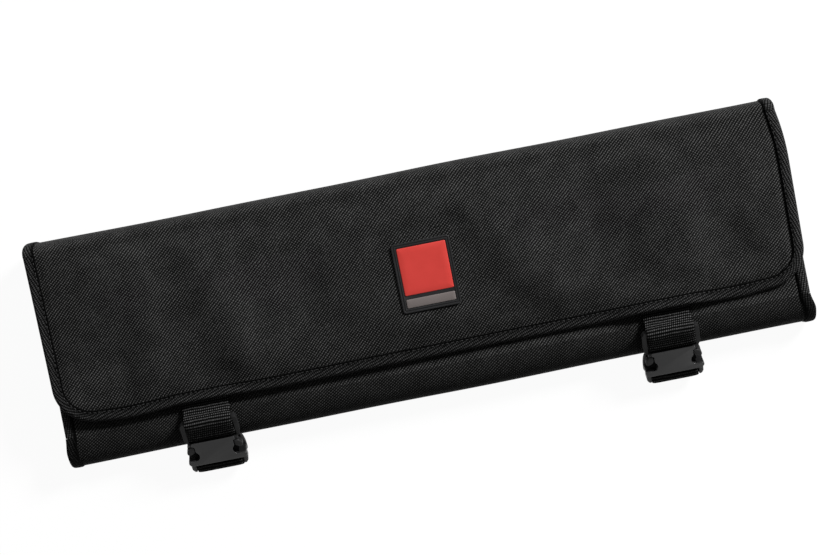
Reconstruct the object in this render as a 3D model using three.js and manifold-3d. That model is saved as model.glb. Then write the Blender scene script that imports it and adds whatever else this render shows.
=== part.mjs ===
// Folding chef knife case: a woven nylon wrap with a wide flap, a fold-out front leaf and two strap buckles.
// Millimetres. +X runs along the case, +Y to the top fold, +Z out through the flap.
// The origin is the middle of the back panel's outer face.
import * as THREE from "three";
import { mergeVertices } from "three/addons/utils/BufferGeometryUtils.js";
import Module from "manifold-3d";

const wasm = await Module();
wasm.setup();

// Driving dimensions of the closed case
const caseLength = 480;
const caseHeight = 140;
const topFoldHeight = 40;
const frontFoldHeight = 22;
const lowerBand = 25;
const flapCornerRadius = 24;
const strapSpacing = 296;

// Cloth layers
const clearance = 0.3;
const shellThickness = 1.6;
const boardThickness = 1.2;
const liningThickness = 0.8;
const tapeThickness = 0.8;
const tapeWidth = 7;
const hingeGap = 0.15;
const tapeHingeSetback = 1.7;
const tapeToeSetback = 3.4;

// Folds
const foldBulge = 5;
const spineHingeSetback = 1;
const spineEndDraw = 3.2;
const frontCurveDepth = 17;
const frontToeHeight = 6;
const spineLiningInset = 6;
const wallLiningLowShare = 0.3;
const wallLiningHighShare = 0.86;
const foldSteps = 14;
const toeSteps = 4;
const cornerSteps = 8;
const bevelSteps = 2;
const pathSteps = 4;

// Pockets and handle loops
const pocketWall = 0.8;
const pocketHeight = 6;
const pocketLength = 300;
const pocketMargin = 4;
const pocketGap = 3;
const pocketEndInset = 12;
const leafPocketSetback = 7;
const leafPocketMargin = 10;
const loopLength = 30;
const loopHeight = 11.5;
const loopSetback = 48;

// Badge
const badgeWidth = 37;
const badgeHeight = 44;
const badgeCentreX = 5;
const badgeDownShare = 0.5565;
const badgeCornerRadius = 2;
const badgeBase = 0.8;
const badgeRimWidth = 1.6;
const badgeRimHeight = 1.3;
const badgePanelWidth = 31;
const badgePanelHeight = 30;
const badgePanelDrop = 3.2;
const badgeLabelHeight = 5.5;
const badgeInsertThickness = 0.7;

// Webbing and buckles
const webbingWidth = 30;
const webbingThickness = 1.4;
const buckleTilt = THREE.MathUtils.degToRad(35);
const buckleMouthOut = 1;
const buckleLift = 4.4;
const patchLength = 26;
const strapDropShare = 2.6;
const anchorLow = 1.5;
const anchorHigh = 8;

const male = {
  halfWidth: 18.2,
  waistHalfWidth: 15.8,
  length: 17.1,
  halfThickness: 2,
  cornerRadius: 3,
  shoulder: 1.6,
  shoulderHalfThickness: 4.2,
  waistRise: 6,
  slotEnd: 4.2,
  lowerBarEnd: 6.4,
  lowerBarHalfThickness: 1.6,
  upperBar: 2.5,
  guideHalfWidth: 2.4,
  guideLength: 12.5,
  guideHalfThickness: 1.6,
};
const female = {
  halfWidth: 19,
  mouthHalfWidth: 16,
  bodyLength: 16.9,
  halfThickness: 4.75,
  edgeRound: 0.8,
  flareAt: 4,
  flareHalfWidth: 18.2,
  fullAt: 9,
  cavityHalfWidth: 13.9,
  cavityHalfHeight: 2.9,
  cavityDepth: 15,
  windowStart: 5.2,
  windowEnd: 10.6,
  windowInner: 11.2,
  slotLength: 2.5,
  bar: 2,
  barHalfThickness: 1.2,
  postHalfThickness: 3.4,
  postHalfWidth: 18.6,
};
const arm = {
  pivotX: 11.3,
  pivotDepth: 1.5,
  halfWidth: 1.2,
  halfThickness: 2.2,
  rampStart: 5,
  rampEnd: 9,
  rampFoot: 2.3,
  rampPeak: 3.4,
  heelDepth: 10.3,
  heelOut: 2.1,
  tipDepth: 12.5,
};

// Derived places
const overrun = 3;
const halfHeight = caseHeight / 2;
const backHalf = halfHeight - foldBulge;
const tapeStand = tapeThickness + clearance;
const panelHalf = caseLength / 2 - tapeStand;
const panelStack = shellThickness + clearance + boardThickness + clearance + liningThickness;
const flapStack = shellThickness + clearance + liningThickness;
const strapX = strapSpacing / 2;
const flapReach = caseHeight - lowerBand;
const badgeDown = flapReach * badgeDownShare;
const leafReach = backHalf;
const pocketSpacing = backHalf - pocketMargin;
const pocketWidth = pocketSpacing - pocketGap;
const leafPocketWidth = leafReach - leafPocketSetback - leafPocketMargin;
const loopCentre = pocketEndInset + pocketLength + loopSetback + (loopLength - caseLength) / 2;

const flapHinge = new THREE.Vector2(backHalf - spineHingeSetback, topFoldHeight);
const leafHinge = new THREE.Vector2(frontCurveDepth - halfHeight, frontFoldHeight);
const underFlap = webbingThickness + 4 * clearance;
const flapEdgeHeight = frontFoldHeight + underFlap + flapStack + tapeStand;
const flapEdgeY = halfHeight - flapReach;
const flapTilt = Math.atan2(topFoldHeight - flapEdgeHeight, flapHinge.x - flapEdgeY);
const flapLength = Math.hypot(topFoldHeight - flapEdgeHeight, flapHinge.x - flapEdgeY);

const cloth = new THREE.MeshStandardMaterial({ color: 0x232323, roughness: 0.85, metalness: 0 });
const liningCloth = new THREE.MeshStandardMaterial({ color: 0x2b2b2d, roughness: 0.9, metalness: 0 });
const tape = new THREE.MeshStandardMaterial({ color: 0x1a1a1a, roughness: 0.8, metalness: 0 });
const board = new THREE.MeshStandardMaterial({ color: 0x3a3a3a, roughness: 0.7, metalness: 0 });
const webbing = new THREE.MeshStandardMaterial({ color: 0x161616, roughness: 0.75, metalness: 0 });
const plastic = new THREE.MeshStandardMaterial({ color: 0x303030, roughness: 0.45, metalness: 0 });
const rubber = new THREE.MeshStandardMaterial({ color: 0x2a2a2c, roughness: 0.6, metalness: 0 });
const redRubber = new THREE.MeshStandardMaterial({ color: 0xd63d37, roughness: 0.55, metalness: 0 });
const greyRubber = new THREE.MeshStandardMaterial({ color: 0x8c8a8a, roughness: 0.55, metalness: 0 });

// A closed three.js geometry as a manifold solid, with shared vertices merged.
function solidOf(geometry) {
  const bare = geometry.index ? geometry.toNonIndexed() : geometry.clone();
  bare.deleteAttribute("normal");
  bare.deleteAttribute("uv");
  const merged = mergeVertices(bare);
  return new wasm.Manifold(
    new wasm.Mesh({
      numProp: 3,
      vertProperties: new Float32Array(merged.attributes.position.array),
      triVerts: new Uint32Array(merged.index.array),
    }),
  );
}

// A manifold solid as a BufferGeometry.
function geometryOf(solid) {
  const mesh = solid.getMesh();
  const geometry = new THREE.BufferGeometry();
  geometry.setAttribute("position", new THREE.BufferAttribute(mesh.vertProperties, mesh.numProp));
  geometry.setIndex(new THREE.BufferAttribute(mesh.triVerts, 1));
  geometry.computeVertexNormals();
  return geometry;
}

function cut(geometry, ...tools) {
  return geometryOf(tools.reduce((left, tool) => left.subtract(solidOf(tool)), solidOf(geometry)));
}

function join(geometry, ...others) {
  return geometryOf(others.reduce((sum, other) => sum.add(solidOf(other)), solidOf(geometry)));
}

function named(name, geometry, material) {
  const mesh = new THREE.Mesh(geometry, material);
  mesh.name = name;
  return mesh;
}

// A box between two corners.
function boxBetween(low, high) {
  const size = high.clone().sub(low);
  const box = new THREE.BoxGeometry(size.x, size.y, size.z);
  box.translate((low.x + high.x) / 2, (low.y + high.y) / 2, (low.z + high.z) / 2);
  return box;
}

// A box given by half sizes in X and Z about zero, between two places in Y.
function barBetween(halfX, lowY, highY, halfZ) {
  return boxBetween(new THREE.Vector3(-halfX, lowY, -halfZ), new THREE.Vector3(halfX, highY, halfZ));
}

// An outline in X and Y, made solid between two heights.
function slab(shape, low, high) {
  const geometry = new THREE.ExtrudeGeometry(shape, {
    depth: high - low,
    bevelEnabled: false,
    curveSegments: cornerSteps,
  });
  geometry.translate(0, 0, low);
  return geometry;
}

// An outline in Y and Z, made solid between two places along X.
function along(points, lowX, highX) {
  const geometry = new THREE.ExtrudeGeometry(new THREE.Shape(points), {
    depth: highX - lowX,
    bevelEnabled: false,
  });
  geometry.applyMatrix4(
    new THREE.Matrix4().makeBasis(
      new THREE.Vector3(0, 1, 0),
      new THREE.Vector3(0, 0, 1),
      new THREE.Vector3(1, 0, 0),
    ),
  );
  geometry.translate(lowX, 0, 0);
  return geometry;
}

// The path's points moved to its left by a distance.
function offsetPath(points, distance) {
  return points.map((point, i) => {
    const before = points[Math.max(i - 1, 0)];
    const after = points[Math.min(i + 1, points.length - 1)];
    const run = after.clone().sub(before).normalize();
    return new THREE.Vector2(point.x - run.y * distance, point.y + run.x * distance);
  });
}

// A layer that follows a path in Y and Z, from one offset to a larger one on its left.
function layer(points, nearOffset, farOffset, lowX, highX) {
  const outline = [...offsetPath(points, nearOffset), ...offsetPath(points, farOffset).reverse()];
  return along(outline, lowX, highX);
}

// A ribbon of webbing whose middle follows a path.
function ribbon(points, middleX) {
  return layer(
    points,
    -webbingThickness / 2,
    webbingThickness / 2,
    middleX - webbingWidth / 2,
    middleX + webbingWidth / 2,
  );
}

// A rectangle in X and Y with round corners.
function roundedRectangle(width, height, radius) {
  const x = width / 2;
  const y = height / 2;
  const shape = new THREE.Shape();
  shape.moveTo(-x + radius, -y);
  shape.lineTo(x - radius, -y);
  shape.absarc(x - radius, -y + radius, radius, -Math.PI / 2, 0, false);
  shape.lineTo(x, y - radius);
  shape.absarc(x - radius, y - radius, radius, 0, Math.PI / 2, false);
  shape.lineTo(-x + radius, y);
  shape.absarc(-x + radius, y - radius, radius, Math.PI / 2, Math.PI, false);
  shape.lineTo(-x, -y + radius);
  shape.absarc(-x + radius, -y + radius, radius, Math.PI, 1.5 * Math.PI, false);
  return shape;
}

// A panel's outline, hinged along Y = -start and reaching to -length,
// grown by a margin on its three free sides.
function panelOutline(halfWidth, length, radius, margin, start) {
  const x = halfWidth + margin;
  const y = -length - margin;
  const r = radius + margin;
  const shape = new THREE.Shape();
  shape.moveTo(-x, -start);
  shape.lineTo(-x, y + r);
  if (r > 0) shape.absarc(-x + r, y + r, r, Math.PI, 1.5 * Math.PI, false);
  shape.lineTo(x - r, y);
  if (r > 0) shape.absarc(x - r, y + r, r, 1.5 * Math.PI, 2 * Math.PI, false);
  shape.lineTo(x, -start);
  shape.closePath();
  return shape;
}

// The U-shaped tape round a panel's three free sides.
function panelTape(length, radius, stack) {
  const outside = slab(
    panelOutline(panelHalf, length, radius, tapeStand, tapeHingeSetback),
    -stack - tapeStand,
    tapeStand,
  );
  const middle = slab(
    panelOutline(panelHalf, length, radius, tapeStand - tapeWidth, -overrun),
    -stack - tapeStand - overrun,
    tapeStand + overrun,
  );
  const seat = slab(
    panelOutline(panelHalf, length, radius, clearance, -overrun),
    -stack - clearance,
    clearance,
  );
  return cut(outside, middle, seat);
}

// The tape over one end of a folded wall whose outer face follows a curve.
function foldTape(curve, stack, side, lastSetback) {
  const end = (side * caseLength) / 2;
  const inner = end - side * tapeWidth;
  const seatEnd = end - side * tapeThickness;
  const seatStart = inner - side * overrun;
  const path = curve(tapeHingeSetback, lastSetback);
  const outside = layer(path, -tapeStand, stack + tapeStand, Math.min(end, inner), Math.max(end, inner));
  const seat = layer(
    curve(hingeGap, hingeGap),
    -clearance,
    stack + clearance,
    Math.min(seatEnd, seatStart),
    Math.max(seatEnd, seatStart),
  );
  return cut(outside, seat);
}

// A pocket sewn flat on a lining: a cover with side seams, open to its lining and at its right end.
function pocket(width, height, middleY, seat, towards) {
  const left = -caseLength / 2 + pocketEndInset;
  const right = left + pocketLength;
  const far = seat + towards * height;
  const innerFar = far - towards * pocketWall;
  const cover = boxBetween(
    new THREE.Vector3(left, middleY - width / 2, Math.min(seat, far)),
    new THREE.Vector3(right, middleY + width / 2, Math.max(seat, far)),
  );
  const past = seat - towards * overrun;
  const hollow = boxBetween(
    new THREE.Vector3(left + pocketWall, middleY - width / 2 + pocketWall, Math.min(past, innerFar)),
    new THREE.Vector3(right + overrun, middleY + width / 2 - pocketWall, Math.max(past, innerFar)),
  );
  return cut(cover, hollow);
}

// An elastic loop for a knife's handle, open at both ends and to its lining.
function handleLoop(width, height, middleY, seat) {
  const cover = boxBetween(
    new THREE.Vector3(loopCentre - loopLength / 2, middleY - width / 2, seat),
    new THREE.Vector3(loopCentre + loopLength / 2, middleY + width / 2, seat + height),
  );
  const hollow = boxBetween(
    new THREE.Vector3(
      loopCentre - loopLength / 2 - overrun,
      middleY - width / 2 + pocketWall,
      seat - overrun,
    ),
    new THREE.Vector3(
      loopCentre + loopLength / 2 + overrun,
      middleY + width / 2 - pocketWall,
      seat + height - pocketWall,
    ),
  );
  return cut(cover, hollow);
}

// Back panel: shell, stiffening board, lining, end tapes, two blade pockets and two handle loops.
// The shell is pressed thin under each end's tape, so that shell and tapes lie on one plane.
function backPanel() {
  const group = new THREE.Group();
  const half = backHalf - clearance;
  const sheet = (low, thickness, inset) =>
    boxBetween(
      new THREE.Vector3(-panelHalf + inset, -half + inset, low),
      new THREE.Vector3(panelHalf - inset, half - inset, low + thickness),
    );
  const tapeInner = caseLength / 2 - tapeWidth;
  const boardLow = shellThickness + clearance;
  const liningLow = boardLow + boardThickness + clearance;
  const pressed = [-1, 1].map((side) =>
    boxBetween(
      new THREE.Vector3(side > 0 ? tapeInner - clearance : -panelHalf - overrun, -half - overrun, -overrun),
      new THREE.Vector3(side > 0 ? panelHalf + overrun : clearance - tapeInner, half + overrun, tapeStand),
    ),
  );
  group.add(named("back_shell", cut(sheet(0, shellThickness, 0), ...pressed), cloth));
  group.add(named("back_board", sheet(boardLow, boardThickness, clearance), board));
  group.add(named("back_lining", sheet(liningLow, liningThickness, 0), liningCloth));
  const tapeHalf = backHalf - tapeHingeSetback;
  for (const [side, name] of [[-1, "left"], [1, "right"]]) {
    const end = (side * caseLength) / 2;
    const inner = side * tapeInner;
    const seatEnd = end - side * tapeThickness;
    const outside = boxBetween(
      new THREE.Vector3(Math.min(end, inner), -tapeHalf, 0),
      new THREE.Vector3(Math.max(end, inner), tapeHalf, panelStack + tapeStand),
    );
    const seat = boxBetween(
      new THREE.Vector3(Math.min(seatEnd, inner - side * overrun), -half - overrun, tapeThickness),
      new THREE.Vector3(Math.max(seatEnd, inner - side * overrun), half + overrun, panelStack + clearance),
    );
    group.add(named(`back_tape_${name}`, cut(outside, seat), tape));
  }
  const seat = panelStack + clearance;
  for (const [side, name] of [[-1, "lower"], [1, "upper"]]) {
    const middle = (side * pocketSpacing) / 2;
    group.add(named(`blade_pocket_${name}`, pocket(pocketWidth, pocketHeight, middle, seat, 1), liningCloth));
    group.add(named(`handle_loop_${name}`, handleLoop(pocketWidth, loopHeight, middle, seat), tape));
  }
  return group;
}

// Points of the top fold's outer face, from the back panel up to the flap.
function spineCurve(lowTrim, highTrim) {
  const low = lowTrim;
  const high = topFoldHeight - highTrim;
  const middle = topFoldHeight / 2;
  return Array.from({ length: foldSteps + 1 }, (_, i) => {
    const z = low + ((high - low) * i) / foldSteps;
    const share = (z - middle) / middle;
    return new THREE.Vector2(halfHeight - spineEndDraw * share * share, z);
  });
}

// Points of the front fold's outer face, from the leaf down to the back panel.
// A quarter ellipse turns down from the leaf, and a small one turns in at the toe.
function wallCurve(leafTrim, backTrim) {
  const rise = frontFoldHeight - frontToeHeight;
  const tops = foldSteps - toeSteps;
  const points = [];
  const firstAngle = leafTrim / frontCurveDepth;
  for (let i = 0; i <= tops; i++) {
    const angle = firstAngle + ((Math.PI / 2 - firstAngle) * i) / tops;
    points.push(
      new THREE.Vector2(
        leafHinge.x - frontCurveDepth * Math.sin(angle),
        frontToeHeight + rise * Math.cos(angle),
      ),
    );
  }
  const toeDepth = foldBulge - shellThickness;
  const lastAngle = Math.PI / 2 - backTrim / frontToeHeight;
  for (let i = 1; i <= toeSteps; i++) {
    const angle = (lastAngle * i) / toeSteps;
    points.push(
      new THREE.Vector2(
        -halfHeight + toeDepth * (1 - Math.cos(angle)),
        frontToeHeight - frontToeHeight * Math.sin(angle),
      ),
    );
  }
  return points;
}

// A folded wall between two panels: its shell, its lining and a tape on each end
function foldWall(name, curve, liningCurve, lastSetback) {
  const group = new THREE.Group();
  const path = curve(hingeGap, hingeGap);
  group.add(named(`${name}_shell`, layer(path, 0, shellThickness, -panelHalf, panelHalf), cloth));
  const liningNear = shellThickness + clearance;
  const liningHalf = caseLength / 2 - tapeWidth - clearance;
  group.add(
    named(
      `${name}_lining`,
      layer(liningCurve, liningNear, liningNear + liningThickness, -liningHalf, liningHalf),
      liningCloth,
    ),
  );
  for (const [side, word] of [[-1, "left"], [1, "right"]]) {
    group.add(named(`${name}_tape_${word}`, foldTape(curve, shellThickness, side, lastSetback), tape));
  }
  return group;
}

// Flap: shell, lining, tape, badge and the two strap ends sewn under it, in a frame hinged on its outer face
function flap() {
  const group = new THREE.Group();
  group.position.set(0, flapHinge.x, flapHinge.y);
  group.rotation.x = flapTilt;
  const length = flapLength - tapeStand;
  const radius = flapCornerRadius - tapeStand;
  const outline = panelOutline(panelHalf, length, radius, 0, hingeGap);
  group.add(named("flap_shell", slab(outline, -shellThickness, 0), cloth));
  const liningHigh = -shellThickness - clearance;
  const liningOutline = panelOutline(panelHalf, length, radius, 0, 2 * hingeGap);
  group.add(named("flap_lining", slab(liningOutline, liningHigh - liningThickness, liningHigh), liningCloth));
  group.add(named("flap_tape", panelTape(length, radius, flapStack), tape));
  group.add(badge());
  for (const [side, name] of [[-1, "left"], [1, "right"]]) {
    group.add(named(`strap_patch_${name}`, ribbon(patchPath(), side * strapX), webbing));
  }
  return group;
}

// The strap end's path in the flap's frame: sewn to the lining, then down under the edge tape.
function patchPath() {
  const sewn = -flapStack - clearance - webbingThickness / 2;
  const low = strapLevel();
  const stepStart = -flapLength + tapeWidth + clearance;
  const stepEnd = stepStart + 3 * webbingThickness;
  return [
    new THREE.Vector2(-flapLength + hingeGap, low),
    new THREE.Vector2(stepStart, low),
    new THREE.Vector2(stepEnd, sewn),
    new THREE.Vector2(stepEnd + patchLength - tapeWidth, sewn),
  ];
}

// Height of the strap's middle under the flap's edge tape, in the flap's frame.
function strapLevel() {
  return -flapStack - tapeStand - clearance - webbingThickness / 2;
}

// Badge: a moulded base with a raised rim, a coloured panel and a plain label strip, on the flap's face
function badge() {
  const group = new THREE.Group();
  const downY = (halfHeight - badgeDown - flapHinge.x) / Math.cos(flapTilt);
  group.position.set(badgeCentreX, downY, clearance);
  const base = slab(roundedRectangle(badgeWidth, badgeHeight, badgeCornerRadius), 0, badgeRimHeight);
  const floor = slab(
    roundedRectangle(
      badgeWidth - 2 * badgeRimWidth,
      badgeHeight - 2 * badgeRimWidth,
      badgeCornerRadius,
    ),
    badgeBase,
    badgeRimHeight + overrun,
  );
  group.add(named("badge_base", cut(base, floor), rubber));
  const low = badgeBase + clearance;
  const panel = slab(
    roundedRectangle(badgePanelWidth, badgePanelHeight, badgeCornerRadius / 2),
    low,
    low + badgeInsertThickness,
  );
  const panelMiddle = badgeHeight / 2 - badgePanelDrop - badgePanelHeight / 2;
  panel.translate(0, panelMiddle, 0);
  group.add(named("badge_panel", panel, redRubber));
  const label = slab(
    roundedRectangle(badgePanelWidth, badgeLabelHeight, badgeCornerRadius / 2),
    low,
    low + badgeInsertThickness,
  );
  const labelMiddle = -badgeHeight / 2 + badgePanelDrop - clearance + badgeLabelHeight / 2;
  label.translate(0, labelMiddle, 0);
  group.add(named("badge_label", label, greyRubber));
  return group;
}

// Front leaf: shell, board, lining, tape and a pocket under it, level and hinged on its outer face
function leaf() {
  const group = new THREE.Group();
  group.position.set(0, leafHinge.x, leafHinge.y);
  const length = leafReach - tapeStand;
  const turned = (geometry) => geometry.rotateZ(Math.PI);
  const sheet = (high, thickness, inset) =>
    turned(slab(panelOutline(panelHalf, length, inset, -inset, hingeGap + inset), high - thickness, high));
  const boardHigh = -shellThickness - clearance;
  const liningHigh = boardHigh - boardThickness - clearance;
  group.add(named("leaf_shell", sheet(0, shellThickness, 0), cloth));
  group.add(named("leaf_board", sheet(boardHigh, boardThickness, clearance), board));
  group.add(named("leaf_lining", sheet(liningHigh, liningThickness, 0), liningCloth));
  group.add(named("leaf_tape", turned(panelTape(length, 0, panelStack)), tape));
  const middle = leafPocketSetback + leafPocketWidth / 2;
  const seat = -panelStack - clearance;
  group.add(named("leaf_pocket", pocket(leafPocketWidth, pocketHeight, middle, seat, -1), liningCloth));
  return group;
}

// The male half's plan: a frame for the webbing that narrows to a waist at its shoulder.
function maleOutline() {
  const m = male;
  const shape = new THREE.Shape();
  shape.moveTo(-m.waistHalfWidth, 0);
  shape.lineTo(m.waistHalfWidth, 0);
  shape.quadraticCurveTo(m.halfWidth, m.waistRise / 2, m.halfWidth, m.waistRise);
  shape.lineTo(m.halfWidth, m.length - m.cornerRadius);
  shape.quadraticCurveTo(m.halfWidth, m.length, m.halfWidth - m.cornerRadius, m.length);
  shape.lineTo(-m.halfWidth + m.cornerRadius, m.length);
  shape.quadraticCurveTo(-m.halfWidth, m.length, -m.halfWidth, m.length - m.cornerRadius);
  shape.lineTo(-m.halfWidth, m.waistRise);
  shape.quadraticCurveTo(-m.halfWidth, m.waistRise / 2, -m.waistHalfWidth, 0);
  return shape;
}

// Male half: webbing frame with two bars, shoulder plate and the guide tongue
function maleFrame() {
  const m = male;
  const openHalf = webbingWidth / 2 + clearance;
  const plate = slab(maleOutline(), -m.halfThickness, m.halfThickness);
  const slot = barBetween(openHalf, m.shoulder, m.slotEnd, m.halfThickness + overrun);
  const slit = barBetween(openHalf, m.lowerBarEnd, m.length - m.upperBar, m.halfThickness + overrun);
  const barTop = boxBetween(
    new THREE.Vector3(-openHalf, m.shoulder, m.lowerBarHalfThickness),
    new THREE.Vector3(openHalf, m.length - m.upperBar, m.halfThickness + overrun),
  );
  const barBottom = boxBetween(
    new THREE.Vector3(-openHalf, m.shoulder, -m.halfThickness - overrun),
    new THREE.Vector3(openHalf, m.length - m.upperBar, -m.lowerBarHalfThickness),
  );
  const shoulder = barBetween(m.waistHalfWidth, 0, m.shoulder, m.shoulderHalfThickness);
  const guide = barBetween(m.guideHalfWidth, -m.guideLength, m.shoulder, m.guideHalfThickness);
  return join(cut(plate, slot, slit, barTop, barBottom), shoulder, guide);
}

// A latch arm beside the guide: a round root, a straight leaf and a ramped barb, on the side given.
function latchArm(side) {
  const a = arm;
  const shape = new THREE.Shape();
  shape.moveTo(-a.halfWidth, -a.pivotDepth);
  shape.lineTo(-a.halfWidth, -a.tipDepth + a.halfWidth);
  shape.quadraticCurveTo(-a.halfWidth, -a.tipDepth, 0, -a.tipDepth);
  shape.lineTo(a.heelOut, -a.heelDepth);
  shape.lineTo(a.rampPeak, -a.rampEnd);
  shape.lineTo(a.rampFoot, -a.rampStart);
  shape.lineTo(a.halfWidth, -a.rampStart + a.halfWidth);
  shape.lineTo(a.halfWidth, -a.pivotDepth);
  shape.absarc(0, -a.pivotDepth, a.halfWidth, 0, Math.PI, false);
  const leafSpring = slab(shape, -a.halfThickness, a.halfThickness);
  if (side < 0) leafSpring.rotateY(Math.PI);
  leafSpring.translate(side * a.pivotX, 0, 0);
  return leafSpring;
}

// The female half's plan, flaring from its mouth to its full width.
function femaleOutline(inset) {
  const f = female;
  const mouth = -clearance - inset;
  const foot = -f.bodyLength + inset;
  const shape = new THREE.Shape();
  shape.moveTo(-f.mouthHalfWidth + inset, mouth);
  shape.quadraticCurveTo(-f.flareHalfWidth + inset, -f.flareAt / 2, -f.flareHalfWidth + inset, -f.flareAt);
  shape.lineTo(-f.halfWidth + inset, -f.fullAt);
  shape.lineTo(-f.halfWidth + inset, foot);
  shape.lineTo(f.halfWidth - inset, foot);
  shape.lineTo(f.halfWidth - inset, -f.fullAt);
  shape.lineTo(f.flareHalfWidth - inset, -f.flareAt);
  shape.quadraticCurveTo(f.flareHalfWidth - inset, -f.flareAt / 2, f.mouthHalfWidth - inset, mouth);
  shape.closePath();
  return shape;
}

// Female half: a hollow body with a window for each latch arm, and a webbing bar between two posts
function femaleBody() {
  const f = female;
  const body = new THREE.ExtrudeGeometry(femaleOutline(f.edgeRound), {
    depth: 2 * (f.halfThickness - f.edgeRound),
    bevelEnabled: true,
    bevelSize: f.edgeRound,
    bevelThickness: f.edgeRound,
    bevelSegments: bevelSteps,
    curveSegments: pathSteps,
  });
  body.translate(0, 0, -f.halfThickness + f.edgeRound);
  const openHalf = webbingWidth / 2 + clearance;
  const barEnd = f.bodyLength + f.slotLength + f.bar;
  const posts = barBetween(f.postHalfWidth, -barEnd, -f.bodyLength + f.edgeRound, f.postHalfThickness);
  const between = barBetween(openHalf, -barEnd - overrun, -f.bodyLength, f.postHalfThickness + overrun);
  const rod = barBetween(f.postHalfWidth - f.edgeRound, -barEnd, -barEnd + f.bar, f.barHalfThickness);
  const cavity = barBetween(f.cavityHalfWidth, -f.cavityDepth, overrun, f.cavityHalfHeight);
  const windows = [-1, 1].map((side) =>
    boxBetween(
      new THREE.Vector3(
        side > 0 ? f.windowInner : -f.halfWidth - overrun,
        -f.windowEnd,
        -f.cavityHalfHeight,
      ),
      new THREE.Vector3(
        side > 0 ? f.halfWidth + overrun : -f.windowInner,
        -f.windowStart,
        f.halfThickness + overrun,
      ),
    ),
  );
  return join(cut(join(cut(posts, between), body), cavity, ...windows), rod);
}

// The buckle's frame: its mouth stands out past the case's front, on a line just clear of the front fold.
function bucklePlace() {
  const rise = frontFoldHeight - frontToeHeight;
  const angle = Math.atan2(Math.tan(buckleTilt) * frontCurveDepth, rise);
  const touchY = leafHinge.x - frontCurveDepth * Math.sin(angle);
  const touchZ = frontToeHeight + rise * Math.cos(angle);
  const lineY = touchY - buckleLift * Math.sin(buckleTilt);
  const lineZ = touchZ + buckleLift * Math.cos(buckleTilt);
  const y = -halfHeight - buckleMouthOut;
  return new THREE.Vector2(y, lineZ + (y - lineY) * Math.tan(buckleTilt));
}

// A point of the flap's frame, or of the buckle's, in the case's Y and Z.
function turnedPoint(point, origin, tilt) {
  return point.clone().rotateAround(new THREE.Vector2(0, 0), tilt).add(origin);
}

// The free strap: out from under the flap, over the frame, round the lower bar and back under it.
function strapPath(place) {
  const m = male;
  const lap = m.halfThickness + clearance + webbingThickness / 2;
  const round = m.shoulder + clearance + webbingThickness / 2;
  const start = turnedPoint(
    new THREE.Vector2(-flapLength - hingeGap, strapLevel()),
    flapHinge,
    flapTilt,
  );
  const levelEnd = new THREE.Vector2(start.x - 2 * webbingThickness, start.y);
  const outer = m.length + clearance + webbingThickness / 2;
  const local = [
    [outer + webbingThickness, -strapDropShare * m.halfThickness],
    [outer + clearance, -m.halfThickness / 2],
    [outer + clearance, m.halfThickness / 2],
    [outer - clearance, lap - clearance],
    [m.length - m.upperBar / 2, lap + clearance / 2],
    [m.length - 2 * m.upperBar, lap],
    [m.lowerBarEnd, lap],
    [m.slotEnd + clearance, lap - clearance],
    [round + clearance, m.lowerBarHalfThickness],
    [round, 0],
    [round + clearance, -m.lowerBarHalfThickness],
    [m.slotEnd + clearance, clearance - lap],
    [m.lowerBarEnd, -lap],
    [m.length - m.upperBar - webbingThickness, -lap],
  ].map(([y, z]) => turnedPoint(new THREE.Vector2(y, z), place, buckleTilt));
  return new THREE.SplineCurve([start, levelEnd, ...local]).getPoints(pathSteps * (local.length + 1));
}

// The lower strap: through the female half's slot, round its bar and back to the toe of the front fold.
function lowerStrapPath(place) {
  const f = female;
  const slotMiddle = -f.bodyLength - f.slotLength / 2;
  const barOuter = -f.bodyLength - f.slotLength - f.bar;
  const lap = f.barHalfThickness + 2 * clearance + webbingThickness / 2;
  const out = barOuter - clearance - webbingThickness;
  const local = [
    [slotMiddle, -f.barHalfThickness],
    [slotMiddle, f.barHalfThickness - clearance],
    [slotMiddle - webbingThickness / 2, lap - clearance],
    [barOuter + f.bar / 2, lap],
    [barOuter - webbingThickness / 2, lap - clearance],
    [out + clearance, f.barHalfThickness / 2],
    [out + clearance, -f.barHalfThickness],
    [barOuter, -lap - clearance],
  ].map(([y, z]) => turnedPoint(new THREE.Vector2(y, z), place, buckleTilt));
  const end = new THREE.Vector2(-halfHeight - 2 * webbingThickness, frontToeHeight - webbingThickness);
  return new THREE.SplineCurve([...local, end]).getPoints(pathSteps * local.length);
}

// One strap with its buckle: webbing, male frame, two latch arms, female half, lower strap and its sewn tab
function buckle(name, middleX) {
  const group = new THREE.Group();
  const place = bucklePlace();
  group.add(named(`strap_webbing_${name}`, ribbon(strapPath(place), middleX), webbing));
  group.add(named(`lower_webbing_${name}`, ribbon(lowerStrapPath(place), middleX), webbing));
  const frame = new THREE.Group();
  frame.position.set(middleX, place.x, place.y);
  frame.rotation.x = buckleTilt;
  frame.add(named(`male_frame_${name}`, maleFrame(), plastic));
  frame.add(named(`latch_arm_${name}_a`, latchArm(-1), plastic));
  frame.add(named(`latch_arm_${name}_b`, latchArm(1), plastic));
  frame.add(named(`female_body_${name}`, femaleBody(), plastic));
  group.add(frame);
  const face = wallCurve(hingeGap, hingeGap).filter((p) => p.y < anchorHigh && p.y > anchorLow);
  const tab = layer(
    face,
    -clearance - webbingThickness,
    -clearance,
    middleX - webbingWidth / 2,
    middleX + webbingWidth / 2,
  );
  group.add(named(`strap_tab_${name}`, tab, webbing));
  return group;
}

const spineLiningPath = spineCurve(spineLiningInset, spineLiningInset);
const wholeWall = wallCurve(hingeGap, hingeGap);
const wallLiningPath = wholeWall.slice(
  Math.round(foldSteps * (1 - wallLiningHighShare)),
  Math.round(foldSteps * (1 - wallLiningLowShare)) + 1,
);

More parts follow.
